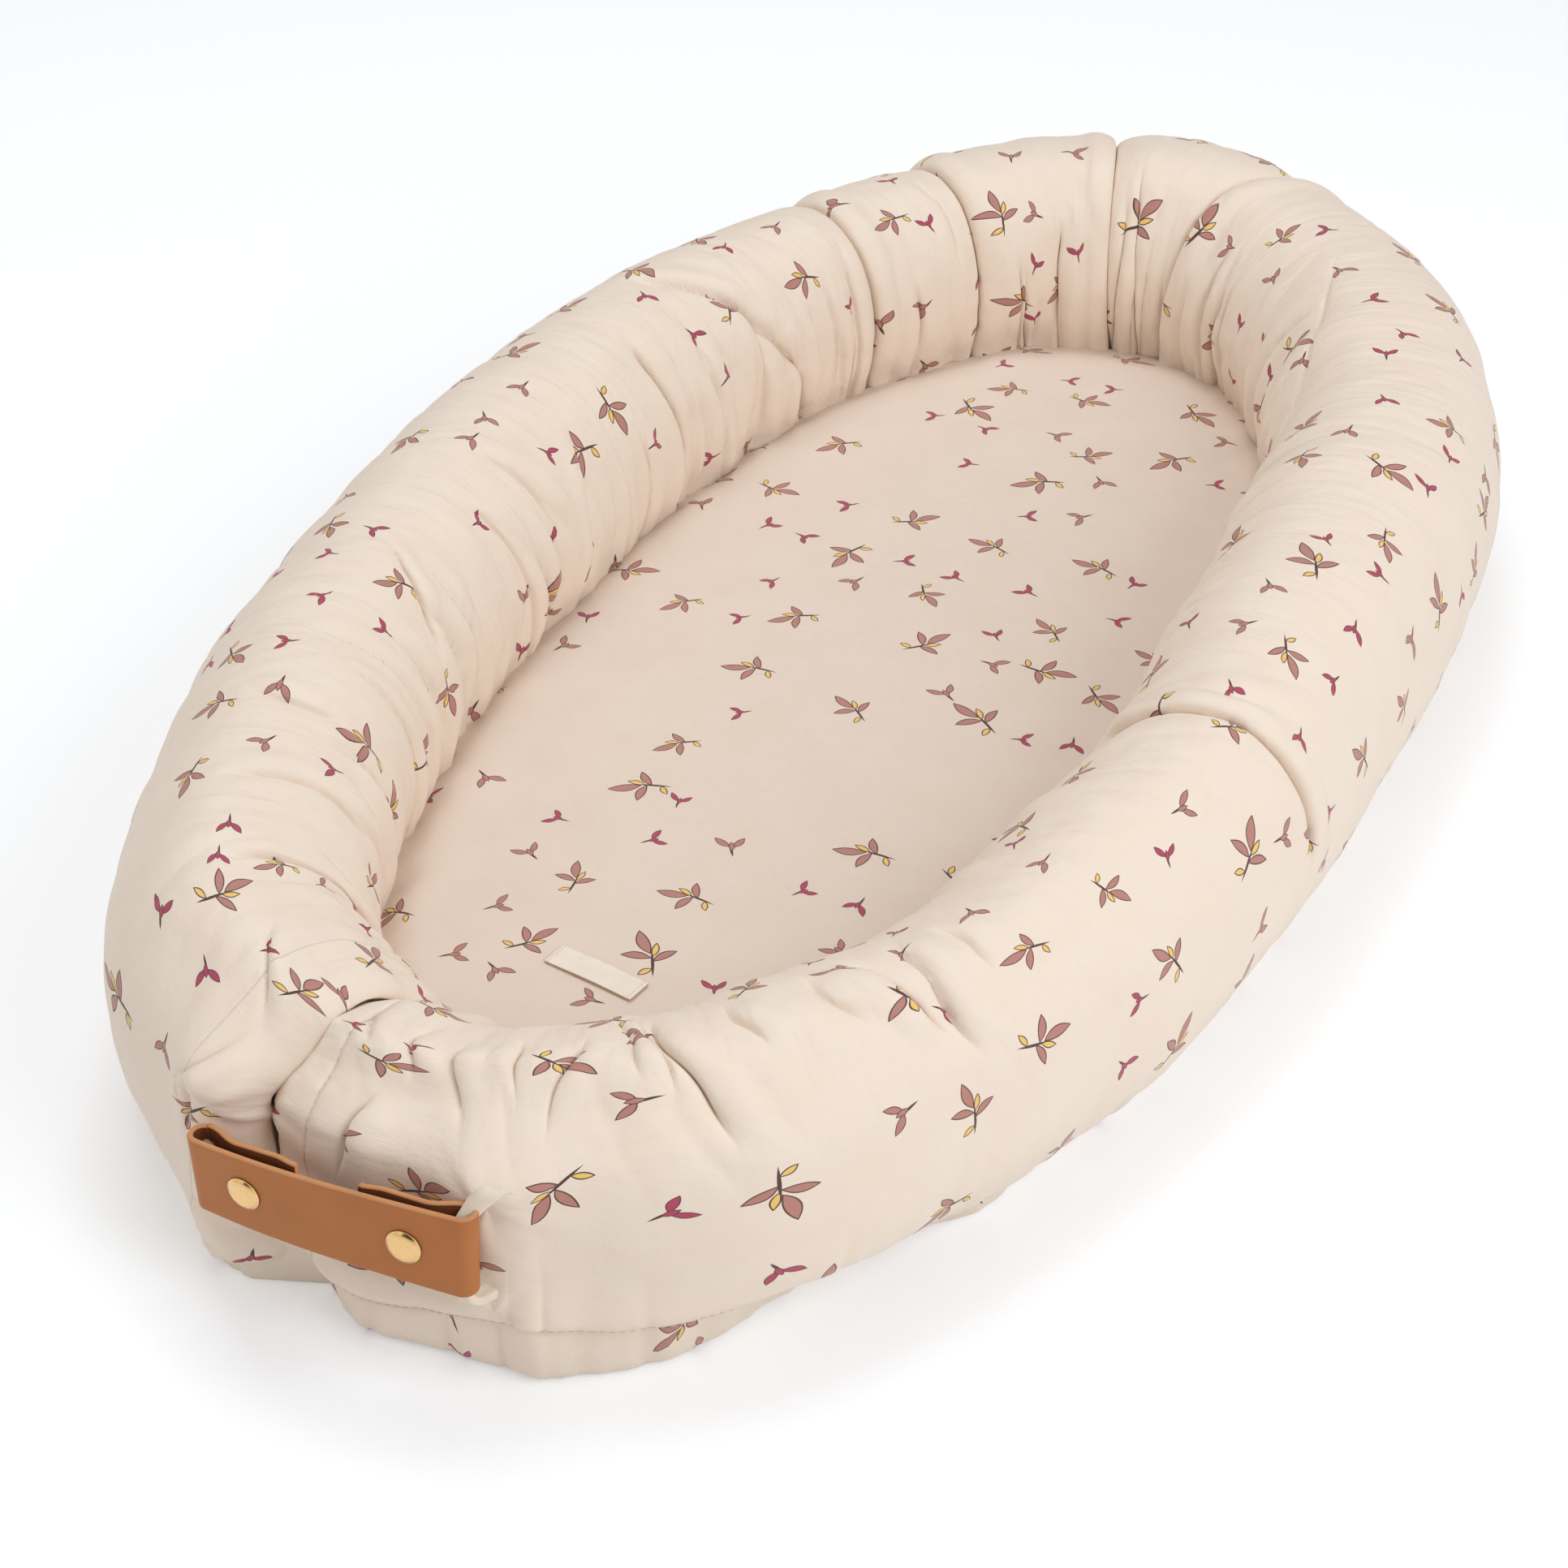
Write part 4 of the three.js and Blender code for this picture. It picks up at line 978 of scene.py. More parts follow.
class LOUNGER_OT_ends(LoungerOperator, bpy.types.Operator):
    """Make the two sewn cloth ends of the roll, the left one squashed against the right one"""
    bl_idname = "lounger.ends"
    bl_label = "Roll ends"

    def execute(self, context):
        sizes = context.scene.lounger_sizes
        count = int(ROUND_ARC / sizes.row_step)
        angles = angles_between(-math.pi, math.pi, count + 1)[:-1]
        last = math.acos((1 - END_SEAM / DOME_LENGTH) ** (DOME_BLUNT_SHARE / 2))
        bends = np.linspace(0.02, last, 34)
        share = 1 - np.cos(bends) ** (2 / DOME_BLUNT_SHARE)
        tips = right_tip(angles)
        distance = tips + (RIGHT_END + END_SEAM - tips) * (share / share[-1])[:, None]
        angle = np.broadcast_to(angles, distance.shape)
        piece = closed_roll("roll_end_right", distance, angle, MATERIALS["print"])
        place_on(piece, "nest", "end_panel_right")

        degrees = np.degrees(angles)
        hug = smooth(degrees, 10, 80) + smooth(-degrees, 90, 130)
        lip = PLAN_LENGTH + LIP_STARTS[1] + (LIP_STARTS[0] - LIP_STARTS[1]) * hug
        rim = LIP_SHARES[1] + (LIP_SHARES[0] - LIP_SHARES[1]) * hug

        def beside_dome(shares):
            hollow = DOME_LENGTH * (1 - (1 - shares ** DOME_BLUNT_SHARE) ** (1 / DOME_BLUNT_SHARE))
            return PLAN_LENGTH + right_tip(angles) + hollow - END_CONTACT

        plain = np.linspace(0, 1, 24)[:-1, None]
        turn = np.linspace(0, math.pi / 2, 14)[:, None]
        deep = np.concatenate([np.linspace(1, 0.5, 18), np.linspace(0.44, 0.06, 7)])[1:, None] * rim
        distance = np.concatenate([
            LEFT_SEAM + (lip - LEFT_SEAM) * plain, lip + (beside_dome(rim) - lip) * np.sin(turn),
            beside_dome(deep),
        ])
        whole = np.ones((len(plain), len(angles)))
        swell = np.concatenate([whole, rim + (1 - rim) * np.cos(turn), deep])
        angle = np.broadcast_to(angles, distance.shape)
        piece = closed_roll("roll_end_left", distance, angle, MATERIALS["print"], swell)
        place_on(piece, "nest", "end_panel_left")
        return {"FINISHED"}


class LOUNGER_OT_fibre(LoungerOperator, bpy.types.Operator):
    """Make the fibre inside the roll"""
    bl_idname = "lounger.fibre"
    bl_label = "Roll fibre"

    def execute(self, context):
        inset = context.scene.lounger_sizes.fill_inset
        distances = np.linspace(RIGHT_END + inset, LEFT_END - 0.022 - inset, 240)
        angles = np.linspace(-math.pi, math.pi, 49)[:-1]
        distance, angle = np.meshgrid(distances, angles, indexing="ij")
        tail = smooth(LEFT_END - 0.018 - distance, 0, 0.024)
        swell = dome_swell(distance - inset, angle) * (0.35 + 0.65 * tail) * FIBRE_SHARE
        grid = roll_skin(distance, angle, swell, inset)
        clumps = 1.6 * MM * lumps(distance / MM / 22, arc_at(angle) / MM / 25, 21)
        grid += normals_of(grid) * clumps[..., None]
        piece = new_object("roll_fibre", grid, tube_faces(*grid.shape[:2]), MATERIALS["fibre"])
        recalculate(piece)
        place_on(piece, "nest", "bolster_fill")
        return {"FINISHED"}


def disc(name, rows, material, uvs=None):
    """A closed flat piece from rings of points, out from the middle below and back in above."""
    count, columns = rows.shape[:2]
    points = rows.reshape(-1, 3)
    faces = [tuple(f) for f in grid_faces(count, columns, True)]
    middles = np.array([rows[0].mean(0), rows[-1].mean(0)])
    points = np.concatenate([points, middles])
    low, high = len(points) - 2, len(points) - 1
    for j in range(columns):
        k = (j + 1) % columns
        faces.append((j, k, low))
        faces.append(((count - 1) * columns + k, (count - 1) * columns + j, high))
    if uvs is None:
        uvs = points[:, :2]
    return recalculate(new_object(name, points, faces, material, uvs))


def wall_at(height):
    """How far the roll's inner wall stands in from the plan line at a height."""
    rise = ((HALF_HEIGHT - height) / HALF_HEIGHT) ** (1 / LOWER_SQUARE_SHARE)
    return math.cos(math.asin(rise)) ** LOWER_SQUARE_SHARE * HALF_WIDTH


def mattress_rings(edge, heights, shares, stations):
    """Rings from the middle out, each a share of the way to the edge and at its own height."""
    place, outward = plan_frame(stations)
    rim = place - outward * edge
    centre = np.array(PLAN_SHIFT)
    rings = []
    for share, height in zip(shares, heights):
        flat = centre + (rim - centre) * share
        rings.append(np.concatenate([flat, np.full((len(flat), 1), height)], 1))
    return np.array(rings)


class LOUNGER_OT_mattress(LoungerOperator, bpy.types.Operator):
    """Make the mattress's printed top cloth and the wadded core below it"""
    bl_idname = "lounger.mattress"
    bl_label = "Mattress"

    def execute(self, context):
        stations = np.linspace(0, PLAN_LENGTH, 640, endpoint=False)
        edge_height, shoulder, crown, cloth = 0.0365, 0.006, 0.0035, 0.0012
        tucked, raised = 0.0105, 0.003
        edge = wall_at(edge_height) - tucked
        inner = np.linspace(0.02, 0.86, 58)
        shares = np.concatenate([inner, np.linspace(0.87, 1.0, 14)])
        drop = shoulder * smooth(shares, 0.88, 1.0) ** 1.6
        top = edge_height + raised + crown * (1 - shares ** 2) - drop
        upper = mattress_rings(edge, top, shares, stations)
        x, y = upper[..., 0] / MM, upper[..., 1] / MM
        wide = waves(x, y, MATTRESS_WAVES)
        rim = 0.9 * lumps(stations / MM / 19, np.zeros(len(stations)), 33)
        rim = rim * smooth(shares, 0.82, 0.97)[:, None]
        upper[..., 2] += MM * (wide * (1 - 0.5 * smooth(shares, 0.8, 1.0))[:, None] + rim)
        lower = upper.copy()
        lower[..., 2] -= cloth
        rings = np.concatenate([lower, upper[::-1]])
        # The top cloth takes the darker copy of the casing's sateen: painted shade.
        piece = disc("mattress_top_cloth", rings, MATERIALS["flat_print_painted_shade"])
        place_on(piece, "nest", "mattress_sheet")
        core_shares = np.linspace(0.05, 0.985, 24)
        core_sink, core_inset, core_base = 0.002, 0.006, 0.003
        core_top = edge_height - core_sink + crown * (1 - core_shares ** 2) - cloth
        core_top = core_top - (shoulder - core_sink) * smooth(core_shares, 0.86, 1.0)
        core_upper = mattress_rings(edge, core_top, core_shares, stations[::4])
        core_lower = mattress_rings(edge - core_inset, np.full(24, core_base), core_shares,
                                    stations[::4])
        core = np.concatenate([core_lower, core_upper[::-1]])
        pad = disc("mattress_core_pad", core, MATERIALS["fibre"])
        place_on(pad, "nest", "mattress_core")
        return {"FINISHED"}


class LOUNGER_OT_bottom(LoungerOperator, bpy.types.Operator):
    """Make the bottom panel with its puckered hem below the outer seam"""
    bl_idname = "lounger.bottom"
    bl_label = "Bottom panel"

    def execute(self, context):
        thick = context.scene.lounger_sizes.base_thickness
        first, last = RIGHT_END + END_SEAM - 0.004, PLAN_LENGTH - 0.037
        stations = np.linspace(first, last, 820)
        place, outward = plan_frame(stations)
        angle = outer_seam(stations)[:, None] + np.array([-0.02, 0, 0.02])
        seam = folded_skin(np.broadcast_to(stations[:, None], angle.shape), angle)[0][:, 1]
        seam_out = ((seam[:, :2] - place) * outward).sum(1)
        lift = lifted(stations)
        way = np.linspace(0, 1, 26)
        level = np.zeros(len(stations))
        puffs = tucks(stations / MM / 17, level, 41, 0.7, 0)
        puffs += 0.5 * tucks(stations / MM / 7, level, 42, 1, 0)
        end = np.minimum(stations - stations[0], stations[-1] - stations)
        near = 1 - smooth(np.abs(from_foot(stations)), 0.06, 0.105)
        bulge = MM * (0.4 + 1.2 * puffs + near * (0.8 + 4.6 * puffs))
        bulge *= smooth(end, 0, 0.02) * (1 - 0.8 * lift)
        inset, foot_inset, lift_inset, flat_share = 0.0065, 0.0035, 0.024, 0.4
        under_edge = seam_out - inset - foot_inset * near - lift_inset * lift
        rim = np.minimum(FLOOR_RIM_SHARE * HALF_WIDTH, under_edge - 0.003)
        up = np.clip((way - flat_share) / (1 - flat_share), 0, 1)
        outs = rim[:, None] + (under_edge - rim)[:, None] * np.clip(way / flat_share, 0, 1)
        outs = outs + 0.004 * up + lift_inset * lift[:, None] * up ** 1.1
        outs = outs + bulge[:, None] * np.sin(math.pi * up) ** (1 - 0.4 * near[:, None])
        heights = (seam[:, 2:] - 0.0008) * (1 - np.cos(math.pi * up)) / 2
        hem = place[:, None] + outward[:, None] * outs[..., None]
        hem = np.concatenate([hem, heights[..., None]], -1)
        floor_shares = np.linspace(0.03, 0.99, 24)
        centre = np.array(PLAN_SHIFT)
        inner = centre + (hem[:, :1, :2] - centre) * floor_shares[None, :, None]
        run = np.linalg.norm(np.diff(hem, axis=1), axis=-1).cumsum(1)
        spread = np.concatenate([0 * run[:, :1], run], 1) + rim[:, None]
        spread = place[:, None] + outward[:, None] * spread[..., None]
        cloth = np.concatenate([inner, spread], 1).transpose(1, 0, 2)
        cloth = np.concatenate([cloth, cloth[::-1]]).reshape(-1, 2)
        inner = np.concatenate([inner, np.zeros(inner.shape[:2] + (1,))], -1)
        under = np.concatenate([inner, hem], 1).transpose(1, 0, 2)
        over = under.copy()
        over[..., 2] += thick
        inwards = thick * way ** 0.5
        over[len(floor_shares):, :, :2] -= outward * inwards[:, None, None]
        rings = np.concatenate([under, over[::-1]])
        cloth = np.concatenate([cloth, [centre, centre]])
        piece = disc("bottom_panel", rings, MATERIALS["print"], cloth)
        place_on(piece, "nest", "base_panel")
        return {"FINISHED"}


def box_centre(node):
    """The middle of a CAD node's box."""
    low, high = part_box(node)
    return (low + high) / 2


class LOUNGER_OT_label(LoungerOperator, bpy.types.Operator):
    """Make the bare woven label, sewn flat on the mattress near the foot"""
    bl_idname = "lounger.label"
    bl_label = "Blank label"

    def execute(self, context):
        middle = np.array(box_centre("label"))[:2]
        along = LABEL_LENGTH * np.array([math.cos(LABEL_TURN), math.sin(LABEL_TURN)])
        across = LABEL_WIDTH * np.array([-math.sin(LABEL_TURN), math.cos(LABEL_TURN)])
        uu, vv = np.meshgrid(np.linspace(-0.5, 0.5, 41), np.linspace(-0.5, 0.5, 13), indexing="ij")
        flat = middle + uu[..., None] * along + vv[..., None] * across
        graph = context.evaluated_depsgraph_get()
        cloth = BVHTree.FromObject(bpy.data.objects["mattress_top_cloth"], graph)
        down = Vector((0, 0, -1))
        base = np.array([[cloth.ray_cast(Vector((x, y, 0.2)), down)[0].z for x, y in row]
                         for row in flat])
        base = base.max() * 0.5 + base * 0.5 + 0.0003
        lift = MM * (0.15 * np.cos(uu * 2 * math.pi) + 0.12 * np.abs(vv) * 2)
        upper = np.concatenate([flat, (base + LABEL_THICKNESS + lift)[..., None]], -1)
        lower = np.concatenate([flat, (base + lift)[..., None]], -1)
        rows, columns = uu.shape
        points = np.concatenate([upper.reshape(-1, 3), lower.reshape(-1, 3)])
        quads = grid_faces(rows, columns)
        count = rows * columns
        faces = [tuple(q) for q in quads] + [tuple(int(k) + count for k in q[::-1]) for q in quads]
        rim = [i * columns for i in range(rows)]
        rim += [(rows - 1) * columns + j for j in range(1, columns)]
        rim += [i * columns + columns - 1 for i in range(rows - 2, -1, -1)]
        rim += list(range(columns - 2, 0, -1))
        for a, b in zip(rim, rim[1:] + rim[:1]):
            faces.append((a, b, b + count, a + count))
        materials = [MATERIALS["tape"], MATERIALS["tape_edge"]]
        piece = new_object("blank_label", points, faces, materials)
        for k, polygon in enumerate(piece.data.polygons):
            polygon.material_index = 1 if k >= 2 * len(quads) else 0
        recalculate(piece)
        bevel = piece.modifiers.new("edge", "BEVEL")
        bevel.width = 0.0002
        bevel.segments = 2
        place_on(piece, "nest", "label")
        rows = []
        for end in (-1, 1):
            share = end * (0.5 - 0.0014 / LABEL_LENGTH)
            line = [middle + share * along + t * across for t in (-0.46, 0.46)]
            rows.append([(p[0], p[1], base.max() + LABEL_THICKNESS + 0.0001) for p in line])
        stitches("label_stitches", rows, spacing=0.0017, length=0.0012, thickness=0.00022)
        return {"FINISHED"}


def stitch_tree():
    """Nodes that lay one thread dash after another along every line of the mesh they are given."""
    tree = bpy.data.node_groups.new("stitch_row", "GeometryNodeTree")
    for name, kind in (("Geometry", "Geometry"), ("Spacing", "Float"), ("Length", "Float"),
                       ("Thickness", "Float"), ("Thread", "Material")):
        tree.interface.new_socket(name, in_out="INPUT", socket_type="NodeSocket" + kind)
    tree.interface.new_socket("Geometry", in_out="OUTPUT", socket_type="NodeSocketGeometry")
    given = add(tree, "NodeGroupInput").outputs
    curve = add(tree, "GeometryNodeMeshToCurve", {"Mesh": given["Geometry"]})
    even = add(tree, "GeometryNodeResampleCurve", {"Curve": curve, "Length": given["Spacing"]},
               mode="LENGTH")
    dash = add(tree, "GeometryNodeMeshUVSphere", {"Segments": 8, "Rings": 5, "Radius": 0.5})
    tangent = add(tree, "GeometryNodeInputTangent")
    turn = add(tree, "FunctionNodeAlignRotationToVector", {"Vector": tangent}, axis="X")
    size = add(tree, "ShaderNodeCombineXYZ", {
        0: given["Length"], 1: given["Thickness"], 2: given["Thickness"],
    })
    rows = add(tree, "GeometryNodeInstanceOnPoints", {
        "Points": even, "Instance": dash, "Rotation": turn, "Scale": size,
    })
    real = add(tree, "GeometryNodeRealizeInstances", {0: rows})
    painted = add(tree, "GeometryNodeSetMaterial", {"Geometry": real, "Material": given["Thread"]})
    add(tree, "NodeGroupOutput", {0: painted})
    return tree


def stitches(name, lines, spacing, length, thickness):
    """Thread dashes along lines of points, laid by the stitch nodes and made a plain mesh."""
    tree = bpy.data.node_groups.get("stitch_row") or stitch_tree()
    points = [p for line in lines for p in line]
    edges, start = [], 0
    for line in lines:
        edges += [(start + i, start + i + 1) for i in range(len(line) - 1)]
        start += len(line)
    mesh = bpy.data.meshes.new(name + "_path")
    mesh.from_pydata([tuple(map(float, p)) for p in points], edges, [])
    guide = link(name + "_path", mesh)
    modifier = guide.modifiers.new("stitches", "NODES")
    modifier.node_group = tree
    values = {
        "Spacing": spacing, "Length": length, "Thickness": thickness, "Thread": MATERIALS["thread"],
    }
    for item in tree.interface.items_tree:
        if item.in_out == "INPUT" and item.name in values:
            modifier[item.identifier] = values[item.name]
    sewn = guide.evaluated_get(bpy.context.evaluated_depsgraph_get())
    made = bpy.data.meshes.new_from_object(sewn)
    made.name = name
    guide.modifiers.remove(modifier)
    bpy.data.objects.remove(guide)
    made.shade_smooth()
    piece = link(name, made)
    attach(piece, "nest")
    return piece


class LOUNGER_OT_seams(LoungerOperator, bpy.types.Operator):
    """Sew the outer seam and the seams of the two roll ends with small stitches"""
    bl_idname = "lounger.seams"
    bl_label = "Seam stitches"

    def execute(self, context):
        length = context.scene.lounger_sizes.stitch_length
        distances = np.linspace(RIGHT_END + END_SEAM + 0.004, LEFT_SEAM - 0.004, 700)
        angle = outer_seam(distances)[:, None] + np.array([0, 0.06])
        outer = folded_skin(np.broadcast_to(distances[:, None], angle.shape), angle)[0][:, 0]
        outer[:, :2] += plan_frame(distances)[1] * 0.0002
        stitches("outer_seam_stitches", [outer], spacing=0.0034, length=length, thickness=0.00034)
        beside = RIGHT_END + END_SEAM + np.array([-0.0002, 0, 0.0002])
        distance, angle = np.meshgrid(beside, np.linspace(-0.7, 3.6, 160), indexing="ij")
        ring = folded_skin(distance, angle)[0][1]
        stitches("end_seam_stitches", [ring], spacing=0.0032, length=length * 0.8, thickness=0.0003)
        return {"FINISHED"}


def hang(points, middle):
    """The handle hangs a little askew: its right end sits higher and leans back."""
    share = (points[..., 0] - middle.x) / HANG_REACH
    lean = np.radians(HANG_LEAN[0] + HANG_LEAN[1] * share)
    points[..., 1] += (points[..., 2] - middle.z) * np.tan(lean)
    points[..., 2] += HANG_RISE * share + HANG_LIFT
    return points


def swept(name, line, sides, section, material, indices, middle):
    """A band swept along a level line: the section gives places across it and heights."""
    line = np.asarray(line, float)
    along = np.gradient(line, axis=0)
    along /= np.linalg.norm(along, axis=1, keepdims=True)
    across = np.stack([-along[:, 1], along[:, 0]], -1)
    count = len(section)
    points = np.empty((len(line), count, 3))
    for k, (off, height) in enumerate(section):
        points[:, k, :2] = line + across * off
        points[:, k, 2] = height + sides
    points = hang(points, middle)
    piece = new_object(name, points, tube_faces(len(line), count), material)
    for k, polygon in enumerate(piece.data.polygons):
        edge_end = k >= (len(line) - 1) * count
        polygon.material_index = 2 if edge_end else indices[k % count]
    return recalculate(piece)


def strap_section(thickness, width):
    """Rounded section of the strap: front face first, then the cut edges and the inner face."""
    half, reach, round_off = thickness / 2, width / 2, 0.0006
    heights = np.linspace(-reach + round_off, reach - round_off, 15)
    front = [(-half, h) for h in heights]
    top = [(-half + round_off * (1 - math.cos(a)), reach - round_off * (1 - math.sin(a)))
           for a in np.linspace(0.4, math.pi / 2, 3)]
    top += [(-x, z) for x, z in reversed(top)]
    back = [(half, h) for h in reversed(heights)]
    bottom = [(-x, -z) for x, z in top]
    section = front + top + back + bottom
    edge = [2] * (len(top) + 1)
    kinds = [0] * (len(front) - 1) + edge + [1] * (len(back) - 1) + edge
    return section, kinds


class LOUNGER_OT_strap(LoungerOperator, bpy.types.Operator):
    """Make the leather handle: the front with its two folds, and the two tails behind it"""
    bl_idname = "lounger.strap"
    bl_label = "Leather handle"

    def execute(self, context):
        handle = context.scene.lounger_handle
        low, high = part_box("strap_front")
        middle, width = (low + high) / 2, high.z - low.z
        front_y = low.y + handle.bow + handle.thickness / 2
        leather = [MATERIALS["grain"], MATERIALS["flesh"], MATERIALS["edge"]]
        section, kinds = strap_section(handle.thickness, width)
        span, radius = handle.half_span, handle.fold_radius

        def front_line(x):
            return front_y - handle.bow * (1 - (x / span) ** 2)

        xs = np.linspace(-span, span, 61)
        fold = np.linspace(-math.pi / 2, math.pi / 2 - 0.075, 22)[1:]
        turned = [(span + radius * math.cos(a), front_y + radius * (1 + math.sin(a))) for a in fold]
        line = [(-x, y) for x, y in reversed(turned)] + [(x, front_line(x)) for x in xs] + turned
        line = np.array(line) + (middle.x, 0)
        sag = 0.0006 * np.sin((line[:, 0] - middle.x) / span * 2.1)
        piece = swept("handle_front", line, middle.z + sag, section, leather, kinds, middle)
        place_on(piece, "handle", "strap_front")
        for side, word in ((-1, "left"), (1, "right")):
            stud = box_centre(f"snap_stud_{word}")
            tail_low, tail_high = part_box(f"strap_tail_{word}")
            start = np.array([middle.x + side * span, front_y + 2 * radius])
            tail_y = tail_low.y + handle.thickness / 2
            near = np.array([stud.x + side * TAIL_PAST_STUD, tail_y])
            pull = np.array([side * TAIL_PULL, 0])
            t = np.linspace(0, 1, 24)[:, None]
            curve = (start * (1 - t) ** 3 + 3 * (start - pull) * t * (1 - t) ** 2
                     + 3 * (near + pull) * t ** 2 * (1 - t) + near * t ** 3)
            tip_x = tail_low.x if side > 0 else tail_high.x
            inwards = np.linspace(0, 1, 16)[1:]
            rest = np.stack([near[0] + (tip_x - near[0]) * inwards,
                             tail_y - TAIL_BEND * smooth(inwards, 0.6, 1.0)], -1)
            line = np.concatenate([curve, rest])
            piece = swept(f"handle_tail_{word}", line[::side], middle.z, section, leather, kinds,
                          middle)
            place_on(piece, f"tail_{word}", f"strap_tail_{word}")
        return {"FINISHED"}


class LOUNGER_OT_studs(LoungerOperator, bpy.types.Operator):
    """Make the domed brass caps and finish the studs and sockets behind them"""
    bl_idname = "lounger.studs"
    bl_label = "Press studs"

    def execute(self, context):
        handle = context.scene.lounger_handle
        for side, word in ((-1, "left"), (1, "right")):
            low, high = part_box(f"snap_cap_{word}")
            middle = (low + high) / 2
            radius = (high.z - low.z) / 2
            slope = 2 * handle.bow * CAP_WAY / handle.half_span ** 2
            lean = side * math.atan(slope)
            depth = high.y - low.y
            dome = [(radius * 0.95 * t, depth - CAP_FALL * t ** 5) for t in np.linspace(0, 1, 26)]
            rim = [(radius * (0.95 + 0.05 * math.sin(a)),
                    depth - CAP_RIM - CAP_ROLL * (1 - math.cos(a)))
                   for a in np.linspace(0.3, math.pi, 8)]
            back = depth - CAP_DEPTH
            profile = dome + rim + [(radius * 0.9, back), (CAP_NECK, back), (CAP_NECK, 0.0)]
            turns = np.linspace(0, 2 * math.pi, 72, endpoint=False)
            points = []
            for r, h in profile[1:]:
                x, z = r * np.cos(turns), r * np.sin(turns)
                y = np.full(len(turns), -h)
                points.append(np.stack([x * math.cos(lean) - y * math.sin(lean),
                                        x * math.sin(lean) + y * math.cos(lean), z], -1))
            rings = np.array(points)
            rings += (middle.x - math.sin(lean) * depth / 2, high.y, middle.z)
            rings = hang(rings, box_centre("strap_front"))
            piece = disc(f"stud_cap_{word}", rings, MATERIALS["brass"])
            place_on(piece, "handle", f"snap_cap_{word}")
            for name in (f"snap_socket_{word}", f"snap_stud_{word}", f"snap_post_{word}"):
                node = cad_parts[name]
                node.data.materials.clear()
                node.data.materials.append(MATERIALS["brass"])
        return {"FINISHED"}


def hit_y(name, x, z):
    """Where a piece's outer side lies at a place and height, seen from the foot."""
    tree = BVHTree.FromObject(bpy.data.objects[name], bpy.context.evaluated_depsgraph_get())
    hit = tree.ray_cast(Vector((x, -0.6, z)), Vector((0, 1, 0)))[0]
    return hit.y if hit else 0.0


class LOUNGER_OT_bars(LoungerOperator, bpy.types.Operator):
    """Make the gathered fabric bars that the handle is folded round"""
    bl_idname = "lounger.bars"
    bl_label = "Fabric bars"

    def execute(self, context):
        t = np.linspace(0, 1, 34)
        sides = np.linspace(0, 2 * math.pi, 49)[:-1]
        flare = 1 + 0.8 * smooth(t, 0.55, 1.0)
        gather = 0.04 + 0.07 * smooth(t, 0.4, 1.0)
        wide = np.tile([1.0, 0, 0], (len(t), 1))
        for side, word, top, base in BARS:
            middle = box_centre(f"belt_loop_{word}")
            y_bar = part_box(f"belt_loop_{word}")[0].y + BAR_SETBACK
            for half, way, aside, knee, rise in BAR_HALVES:
                level = BAR_ENDS[1] + top if way > 0 else BAR_ENDS[0] + base
                x_end = middle.x + side * aside
                wall = min(hit_y(name, x_end, level) for name in ("roll_casing", "roll_end_left"))
                bend = smooth(t, t[knee], 1.0)
                heights = middle.z + (level - middle.z) * np.minimum(1, t * rise) ** 0.95
                depth = y_bar + (wall + BAR_SINK - y_bar) * bend
                path = np.stack([middle.x + (x_end - middle.x) * bend, depth, heights], -1)
                hung = hang(path.copy(), box_centre("strap_front"))
                path[:, 1] += (hung - path)[:, 1] * (1 - bend)
                folds = 1 + gather[:, None] * np.cos(5 * sides + 2 * t[:, None] + side)
                folds += 0.05 * np.cos(3 * sides + way)
                tangent = np.gradient(path, axis=0)
                tangent /= np.linalg.norm(tangent, axis=1, keepdims=True)
                deep = np.cross(tangent, wide)
                ring = (wide[:, None] * (BAR_HALF_WIDTH * np.cos(sides))[:, None]
                        + deep[:, None] * (BAR_HALF_DEPTH * np.sin(sides))[:, None])
                rings = path[:, None] + ring * (flare[:, None] * folds)[..., None]
                piece = disc(f"fabric_bar_{word}_{half}", rings, MATERIALS["plain"])
                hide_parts(f"belt_loop_{word}")
                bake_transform(piece)
        return {"FINISHED"}


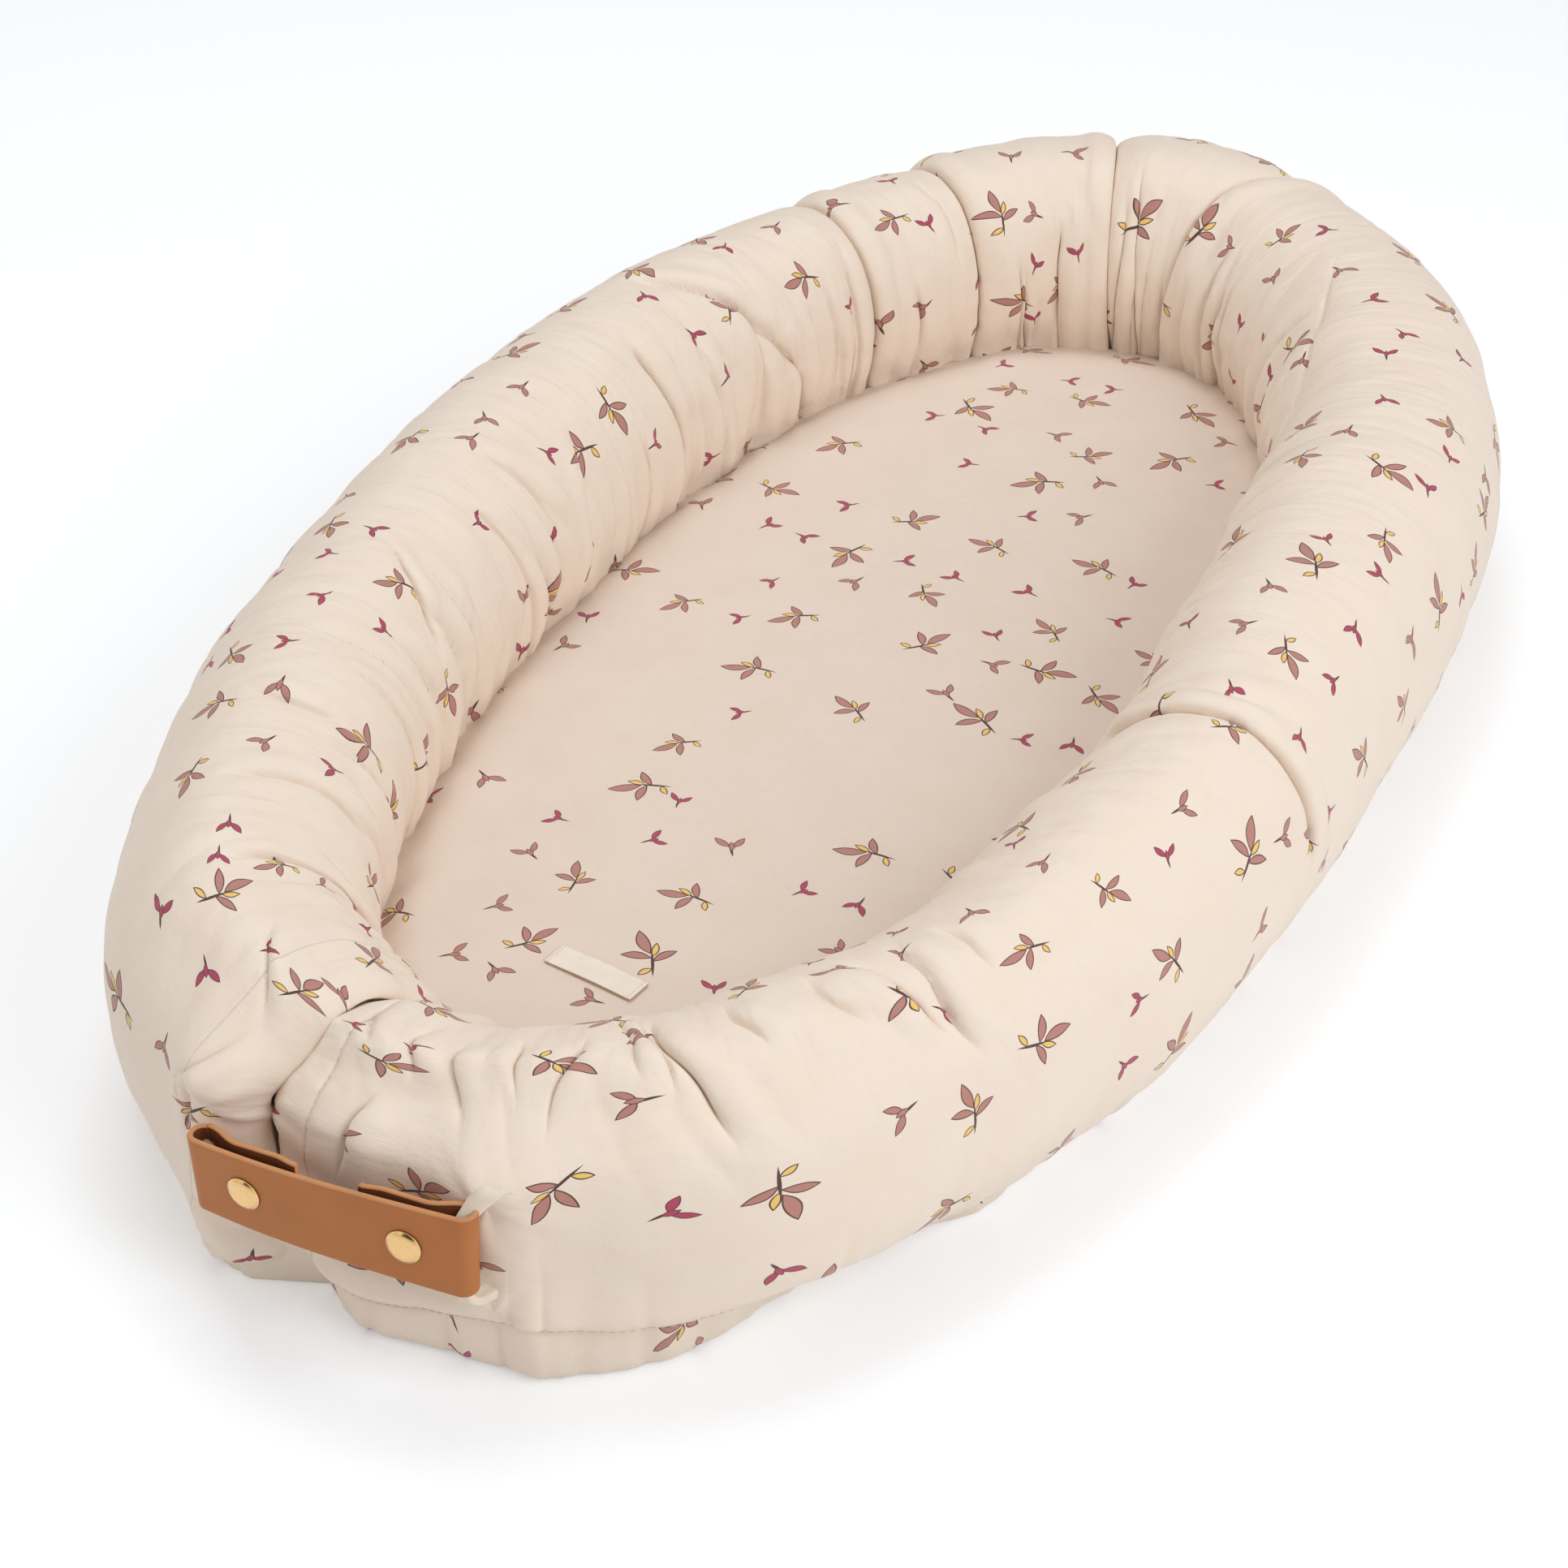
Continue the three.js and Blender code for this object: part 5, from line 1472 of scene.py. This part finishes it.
class LOUNGER_OT_stage(LoungerOperator, bpy.types.Operator):
    """Set the camera, the soft studio lights and the pale floor"""
    bl_idname = "lounger.stage"
    bl_label = "Stage"

    def execute(self, context):
        scene = context.scene
        camera = bpy.data.cameras.new("photo_camera")
        camera.lens = CAMERA_LENS
        camera.sensor_width = 36.0
        holder = link("photo_camera", camera)
        azimuth, elevation, roll = (math.radians(a) for a in CAMERA_TURN)
        back = Vector((math.sin(azimuth) * math.cos(elevation),
                       -math.cos(azimuth) * math.cos(elevation), math.sin(elevation)))
        holder.location = Vector(CAMERA_LOOK) + back * CAMERA_DISTANCE
        spin = back.to_track_quat("Z", "Y").to_matrix().to_4x4() @ Matrix.Rotation(roll, 4, "Z")
        holder.matrix_world = Matrix.Translation(holder.location) @ spin
        scene.camera = holder

        for name, place, aim, size, power in LAMPS:
            lamp = bpy.data.lights.new(name, "AREA")
            lamp.shape = "SQUARE"
            lamp.size = size
            lamp.energy = power
            lamp.color = LAMP_COLOUR
            item = link(name, lamp)
            item.location = place
            item.rotation_euler = (Vector(place) - Vector(aim)).to_track_quat("Z", "Y").to_euler()

        world = bpy.data.worlds.new("pale_studio")
        scene.world = world
        world.use_nodes = True
        tree = world.node_tree
        tree.nodes.clear()
        # The cloth is lit by a dim even room. Polished metal mirrors a room with a dark ceiling.
        rays = add(tree, "ShaderNodeLightPath").outputs
        way = add(tree, "ShaderNodeSeparateXYZ", {0: add(tree, "ShaderNodeTexCoord")})
        mirrored = add(tree, "ShaderNodeMapRange", {
            "Value": way.outputs["Z"], "From Min": 0.08, "From Max": 0.32, "To Min": 1.0,
            "To Max": 0.06,
        })
        dim = add(tree, "ShaderNodeMix", {0: rays["Is Glossy Ray"], 2: ROOM_LEVEL, 3: mirrored})
        seen = {0: rays["Is Camera Ray"], 1: rays["Is Transmission Ray"]}
        seen = add(tree, "ShaderNodeMath", seen, operation="MAXIMUM")
        strength = add(tree, "ShaderNodeMix", {0: seen, 2: dim, 3: 1.0})
        mix = {0: seen, 6: ROOM_TINT, 7: (1, 1, 1, 1)}
        tint = add(tree, "ShaderNodeMix", mix, data_type="RGBA").outputs[2]
        sky = add(tree, "ShaderNodeBackground", {"Color": tint, "Strength": strength})
        add(tree, "ShaderNodeOutputWorld", {0: sky})

        material, tree = new_material("pale_floor")
        rays = add(tree, "ShaderNodeLightPath").outputs
        seen = rays["Is Camera Ray"]
        for ray in ("Is Glossy Ray", "Is Transmission Ray"):
            seen = add(tree, "ShaderNodeMath", {0: seen, 1: rays[ray]}, operation="MAXIMUM")
        mix = {0: seen, 6: scene.lounger_colours.floor, 7: scene.lounger_colours.floor_seen}
        finish_material(material, {
            "Roughness": 0.9, "Specular IOR Level": 0.1, "Emission Color": (1, 1, 1, 1),
            "Emission Strength": add(tree, "ShaderNodeMapRange", {"Value": seen, "To Max": 0.25}),
            "Base Color": add(tree, "ShaderNodeMix", mix, data_type="RGBA").outputs[2],
        })
        corners = [(x * FLOOR_SIDE, y * FLOOR_SIDE, -FLOOR_DROP)
                   for x, y in ((-1, -1), (1, -1), (1, 1), (-1, 1))]
        new_object("studio_floor", corners, [(0, 1, 2, 3)], material)
        scene.view_settings.view_transform = "Standard"
        return {"FINISHED"}


class LOUNGER_PT_panel(bpy.types.Panel):
    """Lists the steps that build the lounger."""
    bl_idname = "LOUNGER_PT_panel"
    bl_label = "Infant lounger"
    bl_space_type = "VIEW_3D"
    bl_region_type = "UI"
    bl_category = "Lounger"

    def draw(self, context):
        for name in GROUPS:
            group = getattr(context.scene, name)
            for setting in group.bl_rna.properties.keys():
                if setting not in ("rna_type", "name"):
                    self.layout.prop(group, setting)
        for operator in OPERATORS:
            self.layout.operator(operator.bl_idname)


OPERATORS = (
    LOUNGER_OT_stage, LOUNGER_OT_casing, LOUNGER_OT_ends, LOUNGER_OT_fibre, LOUNGER_OT_mattress,
    LOUNGER_OT_bottom, LOUNGER_OT_label, LOUNGER_OT_seams, LOUNGER_OT_strap, LOUNGER_OT_studs,
    LOUNGER_OT_bars,
)
GROUPS = {
    "lounger_sizes": LOUNGER_PG_sizes,
    "lounger_handle": LOUNGER_PG_handle,
    "lounger_colours": LOUNGER_PG_colours,
}
CLASSES = (*GROUPS.values(), *OPERATORS, LOUNGER_PT_panel)


def register():
    for each in CLASSES:
        bpy.utils.register_class(each)
    for name, group in GROUPS.items():
        setattr(bpy.types.Scene, name, bpy.props.PointerProperty(type=group))


def unregister():
    for name in GROUPS:
        delattr(bpy.types.Scene, name)
    for each in reversed(CLASSES):
        bpy.utils.unregister_class(each)


def main():
    register()
    MATERIALS.update(make_materials())
    for operator in OPERATORS:
        group, name = operator.bl_idname.split(".")
        getattr(getattr(bpy.ops, group), name)()


if __name__ == "__main__":
    main()
